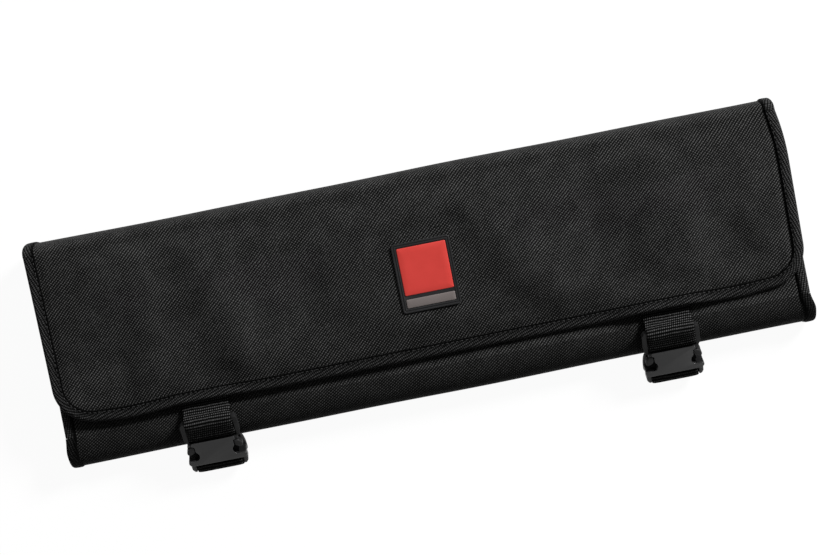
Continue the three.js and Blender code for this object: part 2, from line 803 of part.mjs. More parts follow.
const knifeCase = new THREE.Group();
knifeCase.add(backPanel());
knifeCase.add(foldWall("spine", spineCurve, spineLiningPath, tapeHingeSetback));
knifeCase.add(foldWall("front_wall", wallCurve, wallLiningPath, tapeToeSetback));
knifeCase.add(flap());
knifeCase.add(leaf());
knifeCase.add(buckle("left", -strapX));
knifeCase.add(buckle("right", strapX));

export default knifeCase;
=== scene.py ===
import math

import bmesh
import bpy
import numpy as np
from mathutils import Matrix, Vector


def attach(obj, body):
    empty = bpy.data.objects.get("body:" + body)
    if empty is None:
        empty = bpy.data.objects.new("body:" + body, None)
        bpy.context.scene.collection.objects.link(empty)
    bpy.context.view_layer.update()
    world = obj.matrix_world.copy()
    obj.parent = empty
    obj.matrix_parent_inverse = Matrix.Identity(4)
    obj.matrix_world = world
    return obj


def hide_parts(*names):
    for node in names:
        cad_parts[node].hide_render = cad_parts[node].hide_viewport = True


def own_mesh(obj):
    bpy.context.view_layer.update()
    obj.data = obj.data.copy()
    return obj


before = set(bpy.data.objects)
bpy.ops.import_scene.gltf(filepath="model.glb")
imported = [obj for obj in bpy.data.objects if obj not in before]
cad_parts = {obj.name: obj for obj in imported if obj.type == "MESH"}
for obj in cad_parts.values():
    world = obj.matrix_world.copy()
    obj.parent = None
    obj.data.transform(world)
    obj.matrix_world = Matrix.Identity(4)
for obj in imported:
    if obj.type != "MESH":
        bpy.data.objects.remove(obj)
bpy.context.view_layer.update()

bl_info = {
    "name": "Folding knife case",
    "version": (1, 0, 0),
    "blender": (4, 5, 0),
    "location": "3D View > Sidebar > Knife case",
    "description": "Builds a woven folding knife case with a bound flap and strap buckles round its CAD frame",
    "category": "Add Mesh",
}

MM = 0.001
SAME_POINT = 1e-6
SIDES = ((-1, "left"), (1, "right"))

# Places in the frame, in metres
HALF_LENGTH = 240 * MM
BACK_HALF = 65 * MM
TOP_FOLD_Y = 71.2 * MM
FLAP_HINGE = np.array([64, 40]) * MM
FLAP_TILT = math.radians(6.075)
FLAP_REACH = 109.6 * MM
FLAP_CORNER = 24 * MM
LEAF_HINGE = np.array([-53, 22]) * MM
LEAF_REACH = 65 * MM
BADGE_X = 5 * MM
BADGE_REACH = 58 * MM / math.cos(FLAP_TILT)
BADGE_SEAT = 2.1 * MM
BADGE_STAND = 0.3 * MM
STRAP_X = 148 * MM
BUCKLE_PLACE = np.array([-71, 18.709]) * MM
BUCKLE_TILT = math.radians(35)
WEBBING_HALF = 15 * MM
WEBBING_THICKNESS = 1.4 * MM

# Cloth: its thickness, how far it ends before the case's end, and a panel's lining over its outer face
COVER = 1.3 * MM
LINING = 0.7 * MM
COVER_INSET = 1.2 * MM
LINING_INSET = 7.5 * MM
LINING_RISE = 4.25 * MM


# Meshes from numpy grids

def smooth_step(value, low, high):
    """0 below low, 1 above high, and a smooth S between: 3 t squared less 2 t cubed."""
    share = np.clip((np.asarray(value, float) - low) / (high - low), 0, 1)
    return share * share * (3 - 2 * share)


def tube_mesh(points):
    """Smooth mesh of one closed tube or of several, each a grid of points, rows by columns: one quad between each
    four neighbours, the last column joined to the first, and one face over the first row and one over the last."""
    index = np.arange(points[..., 0].size).reshape(points.shape[:-1])
    loop = np.concatenate([index, index[..., :1]], -1)
    quads = np.stack([loop[..., :-1, :-1], loop[..., 1:, :-1], loop[..., 1:, 1:], loop[..., :-1, 1:]], -1)
    ends = [index[..., 0, :], index[..., -1, ::-1]]
    faces = [face for part in (quads, *ends) for face in part.reshape(-1, part.shape[-1]).tolist()]
    mesh = bpy.data.meshes.new("piece")
    mesh.from_pydata(points.reshape(-1, 3).tolist(), [], faces)
    mesh.shade_smooth()
    return mesh


def grid_mesh(points, uv):
    """The closed tube of one grid of points, with its UV map."""
    mesh = tube_mesh(points)
    corners = np.zeros(len(mesh.loops), np.int32)
    mesh.loops.foreach_get("vertex_index", corners)
    layer = mesh.uv_layers.new(name="cloth")
    layer.data.foreach_set("uv", uv.reshape(-1, 2)[corners].astype(np.float32).ravel())
    return mesh


def plan(rows, columns):
    """UV of a grid: the value of its row and the value of its column at each point."""
    return np.stack(np.broadcast_arrays(rows[:, None], columns[None]), -1)


def flat_points(x, y, z):
    """Grid points from an X row and a Y column, at the heights given."""
    return np.stack(np.broadcast_arrays(x[:, None], y[None], z), -1).astype(float)


def outward(mesh):
    """Turns the faces outwards where the signed volume, a sum of corner products, comes out negative."""
    mesh.calc_loop_triangles()
    corners = np.zeros(len(mesh.loop_triangles) * 3, np.int32)
    mesh.loop_triangles.foreach_get("vertices", corners)
    places = np.zeros(len(mesh.vertices) * 3, np.float32)
    mesh.vertices.foreach_get("co", places)
    a, b, c = places.reshape(-1, 3)[corners.reshape(-1, 3)].transpose(1, 0, 2)
    if np.einsum("ij,ij->i", a, np.cross(b, c)).sum() < 0:
        mesh.flip_normals()
    return mesh


def piece(name, mesh, body, finish, node=None, squash=None, sharp=60):
    """A finished piece: its object at the origin, its material, the body it rides on, and the CAD node it stands for,
    if any. Given a fold's settings, it only looks them up and gives the piece its own copy of its mesh."""
    material, slot = finish
    mesh.name = name
    made = bpy.data.objects.new(name, outward(mesh))
    bpy.context.scene.collection.objects.link(made)
    mesh.materials.append(material)
    mesh.set_sharp_from_angle(angle=math.radians(sharp))
    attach(made, body)
    if node:
        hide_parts(node)
    if squash:
        squash["joint"]
        squash["axis"]
        squash["anchor"]
        squash["keep"]
        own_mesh(made)
    return made


def unit(vectors):
    """The same directions with length 1."""
    return vectors / np.maximum(np.linalg.norm(vectors, axis=-1, keepdims=True), 1e-12)


def closed_sheet(outer, uv, thickness):
    """A sheet of cloth: the outer grid, and the same grid moved in by the thickness along its normals, the cross
    product of the steps along columns and along rows."""
    normal = unit(np.cross(np.gradient(outer, axis=1), np.gradient(outer, axis=0)))
    inner = outer - thickness * normal
    return grid_mesh(np.concatenate([outer, inner[:, ::-1]], 1), np.concatenate([uv, uv[:, ::-1]], 1))


def catmull_rom(points, steps):
    """Smooth path through points: on each stretch a cubic whose end slopes are half the step past each neighbour."""
    p = np.asarray(points, float)
    before = np.concatenate([p[:1], p[:-2]])
    after = np.concatenate([p[2:], p[-1:]])
    t = np.linspace(0, 1, steps, endpoint=False)[None, :, None]
    a, b = p[:-1, None], p[1:, None]
    va, vb = (b - before[:, None]) / 2, (after[:, None] - a) / 2
    path = (2 * a - 2 * b + va + vb) * t**3 + (-3 * a + 3 * b - 2 * va - vb) * t**2 + va * t + a
    return np.concatenate([path.reshape(-1, p.shape[1]), p[-1:]])


def arc_length(path):
    """Distance along a path at each of its points: the running sum of its steps."""
    return np.concatenate([[0], np.cumsum(np.linalg.norm(np.diff(path, axis=0), axis=1))])


def resample(path, count):
    """The same path with evenly spaced points, found on its running length."""
    length = arc_length(path)
    at = np.linspace(0, length[-1], count)
    return np.stack([np.interp(at, length, path[:, k]) for k in range(path.shape[1])], 1)


def distinct(path):
    """The path without the points that repeat the one before them."""
    return path[np.concatenate([[True], np.linalg.norm(np.diff(path, axis=0), axis=1) > SAME_POINT])]


def turned(run):
    """Flat directions of length 1, turned a quarter to the left."""
    run = unit(run)
    return np.stack([-run[:, 1], run[:, 0]], 1)


def left_normals(path):
    """Unit normal to the left of a flat path at each point."""
    return turned(np.gradient(path, axis=0))


def flap_point(x, d, h):
    """A point of the flap's own frame, d from its hinge and h above its face, in the row's frame."""
    c, s = math.cos(FLAP_TILT), math.sin(FLAP_TILT)
    return np.stack([x, FLAP_HINGE[0] - d * c - h * s, FLAP_HINGE[1] - d * s + h * c], -1)


def buckle_point(x, y, z):
    """A point of the buckle's own frame, y up its slope and z out of its face, in the row's frame."""
    c, s = math.cos(BUCKLE_TILT), math.sin(BUCKLE_TILT)
    return np.stack([x, BUCKLE_PLACE[0] + y * c - z * s, BUCKLE_PLACE[1] + y * s + z * c], -1)


# Materials

class Nodes:
    """A node tree, with a short call for each kind of node."""

    def __init__(self, tree):
        self.tree = tree

    def node(self, kind, values=(), **settings):
        made = self.tree.nodes.new(kind)
        for key, value in settings.items():
            setattr(made, key, value)
        for key, value in dict(values).items():
            self.put(made.inputs[key], value)
        return made

    def put(self, socket, value):
        if isinstance(value, bpy.types.NodeSocket):
            self.tree.links.new(value, socket)
        else:
            socket.default_value = value

    def math(self, operation, *values):
        return self.node("ShaderNodeMath", enumerate(values), operation=operation).outputs[0]

    def plus(self, one, other):
        return self.math("ADD", one, other)

    def times(self, one, other):
        return self.math("MULTIPLY", one, other)

    def hump(self, value):
        """Half a sine across each whole step of a value."""
        return self.math("SINE", self.times(self.math("FRACT", value), math.pi))

    def noise(self, place, scale, detail=2.0, roughness=0.5):
        return self.node(
            "ShaderNodeTexNoise",
            {"Vector": place, "Scale": scale, "Detail": detail, "Roughness": roughness},
        ).outputs["Fac"]

    def spread(self, value, low, high, to_low, to_high):
        return self.node(
            "ShaderNodeMapRange", {0: value, 1: low, 2: high, 3: to_low, 4: to_high}
        ).outputs[0]

    def uneven(self, place, scale, low, high, detail=2.0, roughness=0.5, ends=(0.3, 0.7)):
        """Noise spread from low to high between its own two ends."""
        return self.spread(self.noise(place, scale, detail, roughness), *ends, low, high)

    def seen_directly(self):
        """1 for rays from the camera and for those that reflect or pass through, 0 for light that falls on things."""
        rays = self.node("ShaderNodeLightPath").outputs
        value = rays["Is Camera Ray"]
        for name in ("Is Glossy Ray", "Is Transmission Ray"):
            value = self.math("MAXIMUM", value, rays[name])
        return value


class Finish(Nodes):
    """A material: its shader, and what its colour and its bump come from."""

    def __init__(self, name, roughness, specular):
        self.material = bpy.data.materials.new(name)
        self.material.use_nodes = True
        super().__init__(self.material.node_tree)
        self.shader = self.tree.nodes["Principled BSDF"]
        self.set("Roughness", roughness)
        self.set("Specular IOR Level", specular)

    def set(self, name, value):
        self.put(self.shader.inputs[name], value)

    def uv_place(self):
        """The place on the piece's own UV map, in metres."""
        return self.node("ShaderNodeUVMap", uv_map="cloth").outputs[0]

    def object_place(self):
        return self.node("ShaderNodeTexCoord").outputs["Object"]

    def axes(self, place):
        """The first two coordinates of a place."""
        apart = self.node("ShaderNodeSeparateXYZ", {0: place})
        return apart.outputs[0], apart.outputs[1]

    def colours(self, share, one, other):
        """The shader's colour goes from one to the other with the share."""
        values = {"Factor": share, "A": (*one, 1), "B": (*other, 1)}
        self.set("Base Color", self.node("ShaderNodeMix", values, data_type="RGBA").outputs["Result"])

    def bump(self, height, distance):
        values = {"Strength": 1.0, "Distance": distance, "Height": height}
        self.set("Normal", self.node("ShaderNodeBump", values).outputs[0])


def woven(name, dark, light, cell, depth, lean=0.0, roughness=0.5, gloss=0.01, twist=0.22):
    """Plain weave on the UV map: from cell to cell the warp and the weft lie on top in turn.
    A yarn's height is the sine across it, to a power under one, times a lower sine along it. The lighter colour is
    painted sheen: the yarns' twist joins the crossings into slanting rows, half a wave across them, times a weaker
    wave along them."""
    f = Finish(name, roughness, gloss)
    place = f.uv_place()
    u, v = f.axes(place)
    stray = 0.3 * cell[0]
    drift = f.uneven(place, 45.0, -stray, stray)
    us = f.math("DIVIDE", f.plus(f.plus(u, drift), f.times(v, lean)), cell[0])
    vs = f.math("DIVIDE", f.plus(v, f.times(drift, 0.6)), cell[1])
    weft_on_top = f.math("PINGPONG", f.plus(f.math("FLOOR", us), f.math("FLOOR", vs)), 1.0)
    across_u, across_v = f.hump(us), f.hump(vs)
    round_yarn, dip = 0.6, 0.35
    warp = f.times(f.math("POWER", across_u, round_yarn), f.spread(across_v, 0, 1, dip, 1.0))
    weft = f.times(f.math("POWER", across_v, round_yarn), f.spread(across_u, 0, 1, dip, 1.0))
    height = f.plus(f.times(warp, f.math("SUBTRACT", 1.0, weft_on_top)), f.times(weft, weft_on_top))
    row = f.spread(f.math("COSINE", f.times(f.plus(us, vs), math.pi)), 1, -1, 0, 1)
    bead = f.math("COSINE", f.times(f.math("SUBTRACT", us, vs), math.pi))
    loose = f.uneven(place, 70.0, twist * 0.3, twist * 1.6, ends=(0.35, 0.65))
    bead = f.plus(1.0, f.times(loose, f.math("SUBTRACT", bead, 1.0)))
    speckle = f.uneven(place, 0.9 / cell[0], 0.35, 1.5, detail=3.0, roughness=0.7, ends=(0.32, 0.7))
    patches = f.uneven(place, 14.0, 0.96, 1.04, detail=3.0)
    # painted sheen: the share lightens the colour on the yarns' crowns, in slanting rows
    share = f.times(f.math("POWER", row, 1.5), f.math("MAXIMUM", bead, 0.0))
    share = f.times(f.times(share, speckle), patches)
    f.colours(f.math("MINIMUM", share, 1.8), dark, light)
    f.bump(height, depth)
    return f.material


def ribbed(name, dark, light, pitch, depth, slant=0.0, cross=0.5, roughness=0.55, gloss=0.01, seam=0.0,
           sharpness=2.0, wobble=0.25, lean=-0.4):
    """Ribs on the UV map: a raised sine across each rib, which may slant, and yarns that cross it. The lighter colour
    on the ribs' crowns is painted sheen. With a seam, painted shade of the seam's groove and the dark of its thread:
    there is no sheen from the tape's inner edge to a waved line about that far in, and more and more beyond it."""
    yarn_pitch, seam_wave = 1.3 * MM, 1.9 * MM
    f = Finish(name, roughness, gloss)
    place = f.uv_place()
    u, v = f.axes(place)
    drift = f.uneven(place, 90.0, -pitch * wobble, pitch * wobble)
    rib = f.hump(f.math("DIVIDE", f.plus(f.plus(v, f.times(u, slant)), drift), pitch))
    yarn = f.hump(f.math("DIVIDE", f.plus(u, f.times(v, lean)), yarn_pitch))
    height = f.times(f.math("POWER", rib, 0.7), f.spread(yarn, 0, 1, 1.0 - cross, 1.0))
    speckle = f.uneven(place, 1.2 / pitch, 0.3, 1.5, detail=3.0, roughness=0.7, ends=(0.32, 0.7))
    # painted sheen: the lighter colour of the ribs' crowns
    share = f.times(f.math("POWER", height, sharpness), speckle)
    # painted shade of the seam's groove, with the dark of its thread: no sheen near the tape's inner edge
    if seam:
        dent = f.times(f.math("SINE", f.times(u, 2 * math.pi / seam_wave)), 0.35 * seam)
        inner = f.plus(f.plus(v, dent), f.times(drift, 1.2))
        share = f.times(share, f.spread(inner, 1.3 * seam, 2.2 * seam, 0.0, 0.55))
        share = f.times(share, f.spread(inner, 2.2 * seam, 4.0 * seam, 1.0, 1.8))
    f.colours(share, dark, light)
    f.bump(height, depth)
    return f.material


def moulded(name, colour, roughness, specular, grain):
    """Moulded plastic or rubber: fine grain in the bump, and a slow drift of colour and roughness from handling."""
    smudge = 0.12
    f = Finish(name, roughness, specular)
    place = f.object_place()
    f.set("Roughness", f.uneven(place, 90.0, roughness - smudge, roughness + smudge, detail=3.0))
    f.colours(f.uneven(place, 90.0, 0.0, 0.25, detail=3.0), colour, tuple(1.35 * c + 0.004 for c in colour))
    f.bump(f.noise(place, 2600.0), grain)
    return f.material


def thread(name, colour):
    """Sewing thread: a twist of slanting ridges read from Object coordinates, its colour halved between them: painted
    shade in the grooves.
    """
    twist = 4200.0
    f = Finish(name, 0.5, 0.3)
    u, v = f.axes(f.object_place())
    ridge = f.math("ABSOLUTE", f.math("SINE", f.plus(f.times(u, twist), f.times(v, twist))))
    f.colours(ridge, tuple(0.5 * c for c in colour), colour)
    f.bump(ridge, 0.05 * MM)
    return f.material


# Shapes shared by several pieces

def spine_path(count):
    """Outer face of the top fold in Y and Z: a squared half ellipse, from the back panel up to the flap's hinge."""
    turn = np.linspace(-math.pi / 2, math.pi / 2, 2 * count)
    power = 2 / 2.7
    out = np.abs(np.cos(turn)) ** power
    up = np.sign(np.sin(turn)) * np.abs(np.sin(turn)) ** power
    start = np.where(turn < 0, BACK_HALF, FLAP_HINGE[0])
    half = FLAP_HINGE[1] / 2
    return resample(np.stack([start + (TOP_FOLD_Y - start) * out, half + half * up], 1), count)


def wall_path(count):
    """Outer face of the front fold in Y and Z: a quarter ellipse down from the leaf, a small one into the toe."""
    toe_high, toe_deep, bulge = 6 * MM, 3.4 * MM, 17 * MM
    y, z = LEAF_HINGE
    a = np.linspace(0, math.pi / 2, 60)
    b = np.linspace(0, math.radians(88), 24)[1:]
    upper = np.stack([y - bulge * np.sin(a), toe_high + (z - toe_high) * np.cos(a)], 1)
    toe = np.stack([y - bulge + toe_deep * (1 - np.cos(b)), toe_high - toe_high * np.sin(b)], 1)
    return resample(np.concatenate([upper, toe]), count)


# Each fold's joint, axis, anchor and the share it keeps, which the pieces look up; nothing flattens them
SPINE_SQUASH = {"joint": "spine_fold", "axis": (0, 1, 0), "anchor": (0, 0.062, 0), "keep": 0.3}
WALL_SQUASH = {
    "joint": "front_wall_fold", "axis": (0, -0.878, 0.479), "anchor": (0, -0.0628, -0.0012), "keep": 0.2,
}


def binding_section(stack, width):
    """Section of a folded tape as two columns, inward from the edge and up from the outer face: a half ellipse
    round the edge, flat crowned laps above and below that turn in at their ends, and the same line again a tape's
    thickness in."""
    nose, tape, crown_height, turned_in, last_bit = 2.3 * MM, 0.45 * MM, 0.12 * MM, 0.55 * MM, 1.0 * MM
    middle = -stack / 2
    high = stack / 2 + 0.85 * MM
    turn = np.linspace(math.pi / 2, 3 * math.pi / 2, 13)
    bend = np.stack([nose + nose * np.cos(turn), middle + high * np.sin(turn)], 1)
    lap = np.linspace(width, nose, 8, endpoint=False)
    crown = crown_height * np.sin(math.pi * (lap - nose) / (width - nose))
    edge = turned_in * smooth_step(lap, width - last_bit, width)
    top = np.stack([lap, middle + high + crown - edge], 1)
    under = np.stack([lap[::-1], middle - high - crown[::-1] + edge[::-1]], 1)
    outer = np.concatenate([top, bend, under])
    inner = outer.copy()
    inner[:, 0] = np.maximum(inner[:, 0], tape + 0.15 * inner[:, 0])
    inner[:, 1] = middle + (inner[:, 1] - middle) * (high - tape) / high
    inner[0], inner[-1] = [width, inner[0, 1]], [width, inner[-1, 1]]
    return np.concatenate([outer, inner[::-1]])


def binding_mesh(path, inward, out, stack, width):
    """The tape's section carried along a path, each row placed by that point's inward and outward directions.
    Where the outward side meets the floor, its stand is pressed down in step with the height of the path."""
    section = binding_section(stack, width)
    down = smooth_step(-out[:, 2], 0.1, 0.9) * (1 - smooth_step(path[:, 2], 0, 1.5 * MM))
    rise = section[None, :, 1] * np.where(section[None, :, 1] > 0, 1 - 0.95 * down[:, None], 1)
    points = path[:, None] + section[None, :, 0, None] * inward[:, None] + rise[..., None] * out[:, None]
    return grid_mesh(points, plan(arc_length(path), arc_length(section)))


def stitch_mesh(path, out, pitch, length, radius):
    """A row of stitches: short capsules set evenly along a path, their ends dipping into the cloth.
    Each is a grid of rings, of half-sine radius, on a line that sinks with the fourth power of its share."""
    rings, sides, stand, dive = 7, 6, 0.3, 1.4
    at = arc_length(path)
    middles = np.arange(pitch / 2, at[-1] - pitch / 2, pitch)
    share = np.linspace(-1, 1, rings)
    where = middles[:, None] + share[None] * length / 2
    line = np.stack([np.interp(where, at, path[:, k]) for k in range(3)], -1)
    up = unit(np.stack([np.interp(middles, at, out[:, k]) for k in range(3)], -1))
    side = np.cross(unit(line[:, -1] - line[:, 0]), up)
    turn = np.linspace(0, 2 * math.pi, sides, endpoint=False)[None, None, :, None]
    size = radius * np.sqrt(np.clip(1 - share**4, 0.02, 1))
    line = line + (radius * (stand - dive * share**4))[None, :, None] * up[:, None]
    ring = np.cos(turn) * side[:, None, None] + np.sin(turn) * up[:, None, None]
    return tube_mesh(line[:, :, None] + size[None, :, None, None] * ring)


def end_path(path, side):
    """A fold's path in Y and Z as points on one end of the case, with their inward and outward directions."""
    still = np.zeros(len(path))
    points = np.column_stack([still + side * HALF_LENGTH, path])
    inward = np.tile([-float(side), 0, 0], (len(path), 1))
    return points, inward, np.column_stack([still, -left_normals(path)])


def panel_rim(length, radius, start):
    """The three free sides of a panel, hinged at 0 and reaching to its length, with round corners:
    points as X and reach, and the direction in from the edge at each."""
    step = 1.2 * MM
    x, low = HALF_LENGTH, length - radius
    turn = np.linspace(0, math.pi / 2, 24)
    left = np.array([[-x, start], [-x, low]])
    first = np.stack([-x + radius - radius * np.cos(turn), low + radius * np.sin(turn)], 1)
    second = np.stack([x - radius + radius * np.sin(turn), low + radius * np.cos(turn)], 1)
    right = np.array([[x, low], [x, start]])
    path = distinct(np.concatenate([left, first[1:], second, right[1:]]))
    path = resample(path, int(arc_length(path)[-1] / step))
    return path, -left_normals(path)


def ribbon_mesh(path, middle):
    """Webbing along a path in Y and Z: its section is a flat oval, whose half thickness falls with the eighth power
    of the share across."""
    share = np.sin(np.linspace(-math.pi / 2, math.pi / 2, 25))
    t = WEBBING_THICKNESS / 2 * np.sqrt(np.clip(1 - np.abs(share) ** 8, 0, 1))
    column = WEBBING_HALF * np.concatenate([share, share[-2:0:-1]])
    rise = np.concatenate([t, -t[-2:0:-1]])
    place = path[:, None] + rise[None, :, None] * left_normals(path)[:, None]
    x = np.broadcast_to((middle + column)[None, :, None], (*place.shape[:2], 1))
    return grid_mesh(np.concatenate([x, place], -1), plan(arc_length(path), column)[..., ::-1])


def filleted(corners):
    """Outline through corners of X, Y and a cut-back: each corner is a quadratic curve between its two cut points."""
    at = np.array([c[:2] for c in corners], float)
    t = np.linspace(0, 1, 6)[:, None]
    rows = []
    for k, corner in enumerate(at):
        ends = []
        for other in (at[k - 1], at[(k + 1) % len(at)]):
            away = other - corner
            size = np.linalg.norm(away)
            ends.append(corner + away / size * min(corners[k][2], 0.49 * size))
        rows.append((1 - t) ** 2 * ends[0] + 2 * t * (1 - t) * corner + t**2 * ends[1])
    return np.concatenate(rows)


def stacked_mesh(outlines, profile, place):
    """A moulded form from one outline for each inset and height of its profile. Place turns plans into points."""
    points = np.stack([
        place(outline[:, 0], outline[:, 1], np.full(len(outline), rise))
        for outline, (_, rise) in zip(outlines, profile)
    ])
    return grid_mesh(points, np.zeros((*points.shape[:2], 2)))


def slab_mesh(corners, profile, place):
    """A moulded slab, from sizes in millimetres: its filleted outline drawn in along its normals by each inset, at
    each height in turn."""
    step, fewest = 0.3, 24
    outline = filleted(corners)
    outline = distinct(np.concatenate([outline, outline[:1]]))
    outline = resample(outline, max(fewest, int(arc_length(outline)[-1] / step)))[:-1]
    inward = turned(np.roll(outline, -1, axis=0) - np.roll(outline, 1, axis=0))
    area = (outline[:, 0] * np.roll(outline[:, 1], -1) - np.roll(outline[:, 0], -1) * outline[:, 1]).sum()
    outlines = [(outline + inset * np.sign(area) * inward) * MM for inset, _ in profile]
    return outward(stacked_mesh(outlines, [(inset * MM, height * MM) for inset, height in profile], place))


def rounded_profile(low, high, radius):
    """Insets and heights of a slab whose upper and lower rims are quarter circles."""
    turn = np.linspace(0, math.pi / 2, 5)
    inset = radius * (1 - np.cos(turn))
    rise = radius * (1 - np.sin(turn))
    under = [(i, low + r) for i, r in zip(inset[::-1], rise[::-1])]
    return under + [(i, high - r) for i, r in zip(inset, rise)]


def joined(meshes):
    """One mesh of several closed ones."""
    shape = bmesh.new()
    for mesh in meshes:
        shape.from_mesh(mesh)
        bpy.data.meshes.remove(mesh)
    made = bpy.data.meshes.new("piece")
    shape.to_mesh(made)
    shape.free()
    return made


def moulded_copy(name, node, width, finish, body):
    """A moulded part: the CAD node's mesh with its doubles merged, flat faces made one and sharp edges rounded."""
    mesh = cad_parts[node].data.copy()
    shape = bmesh.new()
    shape.from_mesh(mesh)
    bmesh.ops.remove_doubles(shape, verts=shape.verts, dist=SAME_POINT)
    bmesh.ops.dissolve_limit(shape, angle_limit=math.radians(1), verts=shape.verts, edges=shape.edges)
    shape.to_mesh(mesh)
    shape.free()
    mesh.materials.clear()
    made = piece(name, mesh, body, finish, node)
    rounding = made.modifiers.new("rounding", "BEVEL")
    rounding.width = width
    rounding.segments = 4
    rounding.limit_method = "ANGLE"
    rounding.angle_limit = math.radians(32)
    made.modifiers.new("faces", "WEIGHTED_NORMAL")
    return made


# Pieces of the case

CREASES = (
    # x, reach, length, width, turn in degrees, height
    (-124, 70, 80, 15, 8, 1.5),
    (-206, 93, 30, 15, -38, -2.0),
    (-178, 96, 24, 15, -30, 1.1),
    (-176, 44, 60, 24, 14, 0.7),
    (-66, 80, 56, 18, 10, -0.9),
    (73, 74, 46, 17, 34, 1.3),
    (122, 60, 46, 18, 24, -0.8),
    (160, 46, 60, 22, 6, 0.8),
    (201, 90, 36, 14, 20, -1.3),
    (0, 28, 120, 18, 88, 0.6),
)
CREASE_GAIN = 2.6
LONG_WAVE = 0.35 * MM
SHORT_WAVE = 0.08 * MM
FULLNESS = 2.1 * MM
SHOULDER = 1.0 * MM  # beside the binding, up from its foot under it
SHOULDER_FOOT = -0.6 * MM
FLAP_EDGE = 6 * MM
BADGE_FLAT = np.array([38, 42]) * MM  # half sizes of the seat without creases
LOWEST = -0.5 * MM
SOFT_BOUND = 0.4 * MM


def flap_relief(x, d):
    """Height of the flap's face above its plane: soft creases, each a Gaussian ridge along its own line, long low
    waves and a slight fullness between the bound edges, all flat under the badge and fading to nothing at the
    fold. A soft lower bound, the logarithm of one plus an exponential, keeps the cloth above its lining."""
    height = np.zeros_like(x)
    for cx, cd, long, wide, turn, rise in CREASES:
        c, s = math.cos(math.radians(turn)), math.sin(math.radians(turn))
        along = (d - cd * MM) * c + (x - cx * MM) * s
        across = (x - cx * MM) * c - (d - cd * MM) * s
        height += rise * MM * np.exp(-((along / (long * MM)) ** 2) - (across / (wide * MM)) ** 2)
    height += LONG_WAVE * np.sin(x / 0.041 + 3 * d / 0.11) * np.sin(d / 0.035 + 0.6)
    height += SHORT_WAVE * np.sin(x / 0.013 + d / 0.03) * np.sin(d / 0.016)
    edge = np.minimum(HALF_LENGTH - np.abs(x), FLAP_REACH - d)
    seat = smooth_step(BADGE_FLAT[0] - np.abs(x - BADGE_X), 0, 16 * MM)
    seat = seat * smooth_step(BADGE_FLAT[1] - np.abs(d - BADGE_REACH), 0, 15 * MM)
    shoulder = SHOULDER_FOOT + SHOULDER * smooth_step(edge, FLAP_EDGE + 0.5 * MM, 2 * FLAP_EDGE)
    pillow = np.sin(math.pi * np.clip(d / FLAP_REACH, 0, 1)) ** 0.9
    pillow = FULLNESS * pillow * smooth_step(edge, FLAP_EDGE, 40 * MM)
    pillow = pillow + (BADGE_SEAT - pillow) * seat
    height = CREASE_GAIN * height * (1 - seat) * smooth_step(edge, 7 * MM, 26 * MM) + shoulder + pillow
    height = LOWEST + SOFT_BOUND * np.log1p(np.exp((height - LOWEST) / SOFT_BOUND))
    return height * smooth_step(d, 0, 14 * MM)


# Thickness that each binding is folded round
FLAP_STACK = 2.7 * MM
FOLD_STACK = 1.6 * MM
BACK_STACK = 3.1 * MM
LEAF_STACK = 4.3 * MM

# The flap as it hangs: its free edge's height, its lip over the front fold, the straps' hold, its drawn-in end
EDGE_LEFT = 2.6 * MM
EDGE_FALL = 4.6 * MM
CORNER_LIFT = 0.8 * MM
LIP_REACH = 26 * MM
LIP_DROOP = 3.5 * MM
DROOP_LESS = 1.2 * MM
LIP_LONGER = 1.6 * MM
LONGER_AT_STRAPS = 0.8 * MM
SHORTER_AT_CORNERS = 2 * MM
HELD_HALF = 12 * MM
HELD_FADE = 18 * MM
HELD_HEIGHT = 0.3 * MM
END_DRAWN = 3.5 * MM


def drawn_end(x):
    """How far a point near the right end is drawn in, from nothing at X 130 mm to the whole at the end."""
    return END_DRAWN * smooth_step(x, 0.13, 0.24)


def flap_place(x, d, h):
    """A point of the flap as it hangs: its free edge stands a little higher towards the left and lower towards the
    right, growing with the square of the reach. Its lip droops onto the front fold and reaches past the edge,
    growing with the square of the way into the lip. Both fade, as a Gaussian, where a strap holds the edge. The
    flap's upper right end is drawn in."""
    far = np.abs(x)
    beside = np.maximum(np.abs(far - STRAP_X) - HELD_HALF, 0)
    held = np.exp(-((beside / HELD_FADE) ** 2))
    free = EDGE_LEFT - EDGE_FALL * smooth_step(x, -0.16, 0.17) + CORNER_LIFT * smooth_step(x, 0.205, 0.24)
    lifted = np.clip(d / FLAP_REACH, 0, 1) ** 2 * (free * (1 - held) + HELD_HEIGHT * held)
    lip = np.clip((d - FLAP_REACH) / LIP_REACH + 1, 0, 1) ** 2 * (1 - held)
    droop = LIP_DROOP - DROOP_LESS * smooth_step(x, 0.04, 0.13)
    longer = LIP_LONGER + LONGER_AT_STRAPS * smooth_step(far, 0.12, 0.18)
    longer = longer - SHORTER_AT_CORNERS * smooth_step(far, 0.195, 0.225)
    drawn = drawn_end(x) * np.clip(1 - d / (32 * MM), 0, 1) ** 2
    return flap_point(x - drawn, d + lip * longer, h + lifted - lip * droop)


def flap_grid(rows, columns, inset):
    """The flap's plan as a grid: each row across the length runs from the hinge to the rounded outline."""
    radius = FLAP_CORNER - inset
    half = HALF_LENGTH - inset
    share = np.linspace(-1, 1, rows)
    x = half * (0.85 * share + 0.15 * np.sin(share * math.pi / 2))
    over = np.clip(np.abs(x) - (half - radius), 0, radius)
    end = FLAP_REACH - inset - radius + np.sqrt(radius**2 - over**2)
    d = end[:, None] * np.linspace(0, 1, columns)[None]
    return np.broadcast_to(x[:, None], d.shape).copy(), d


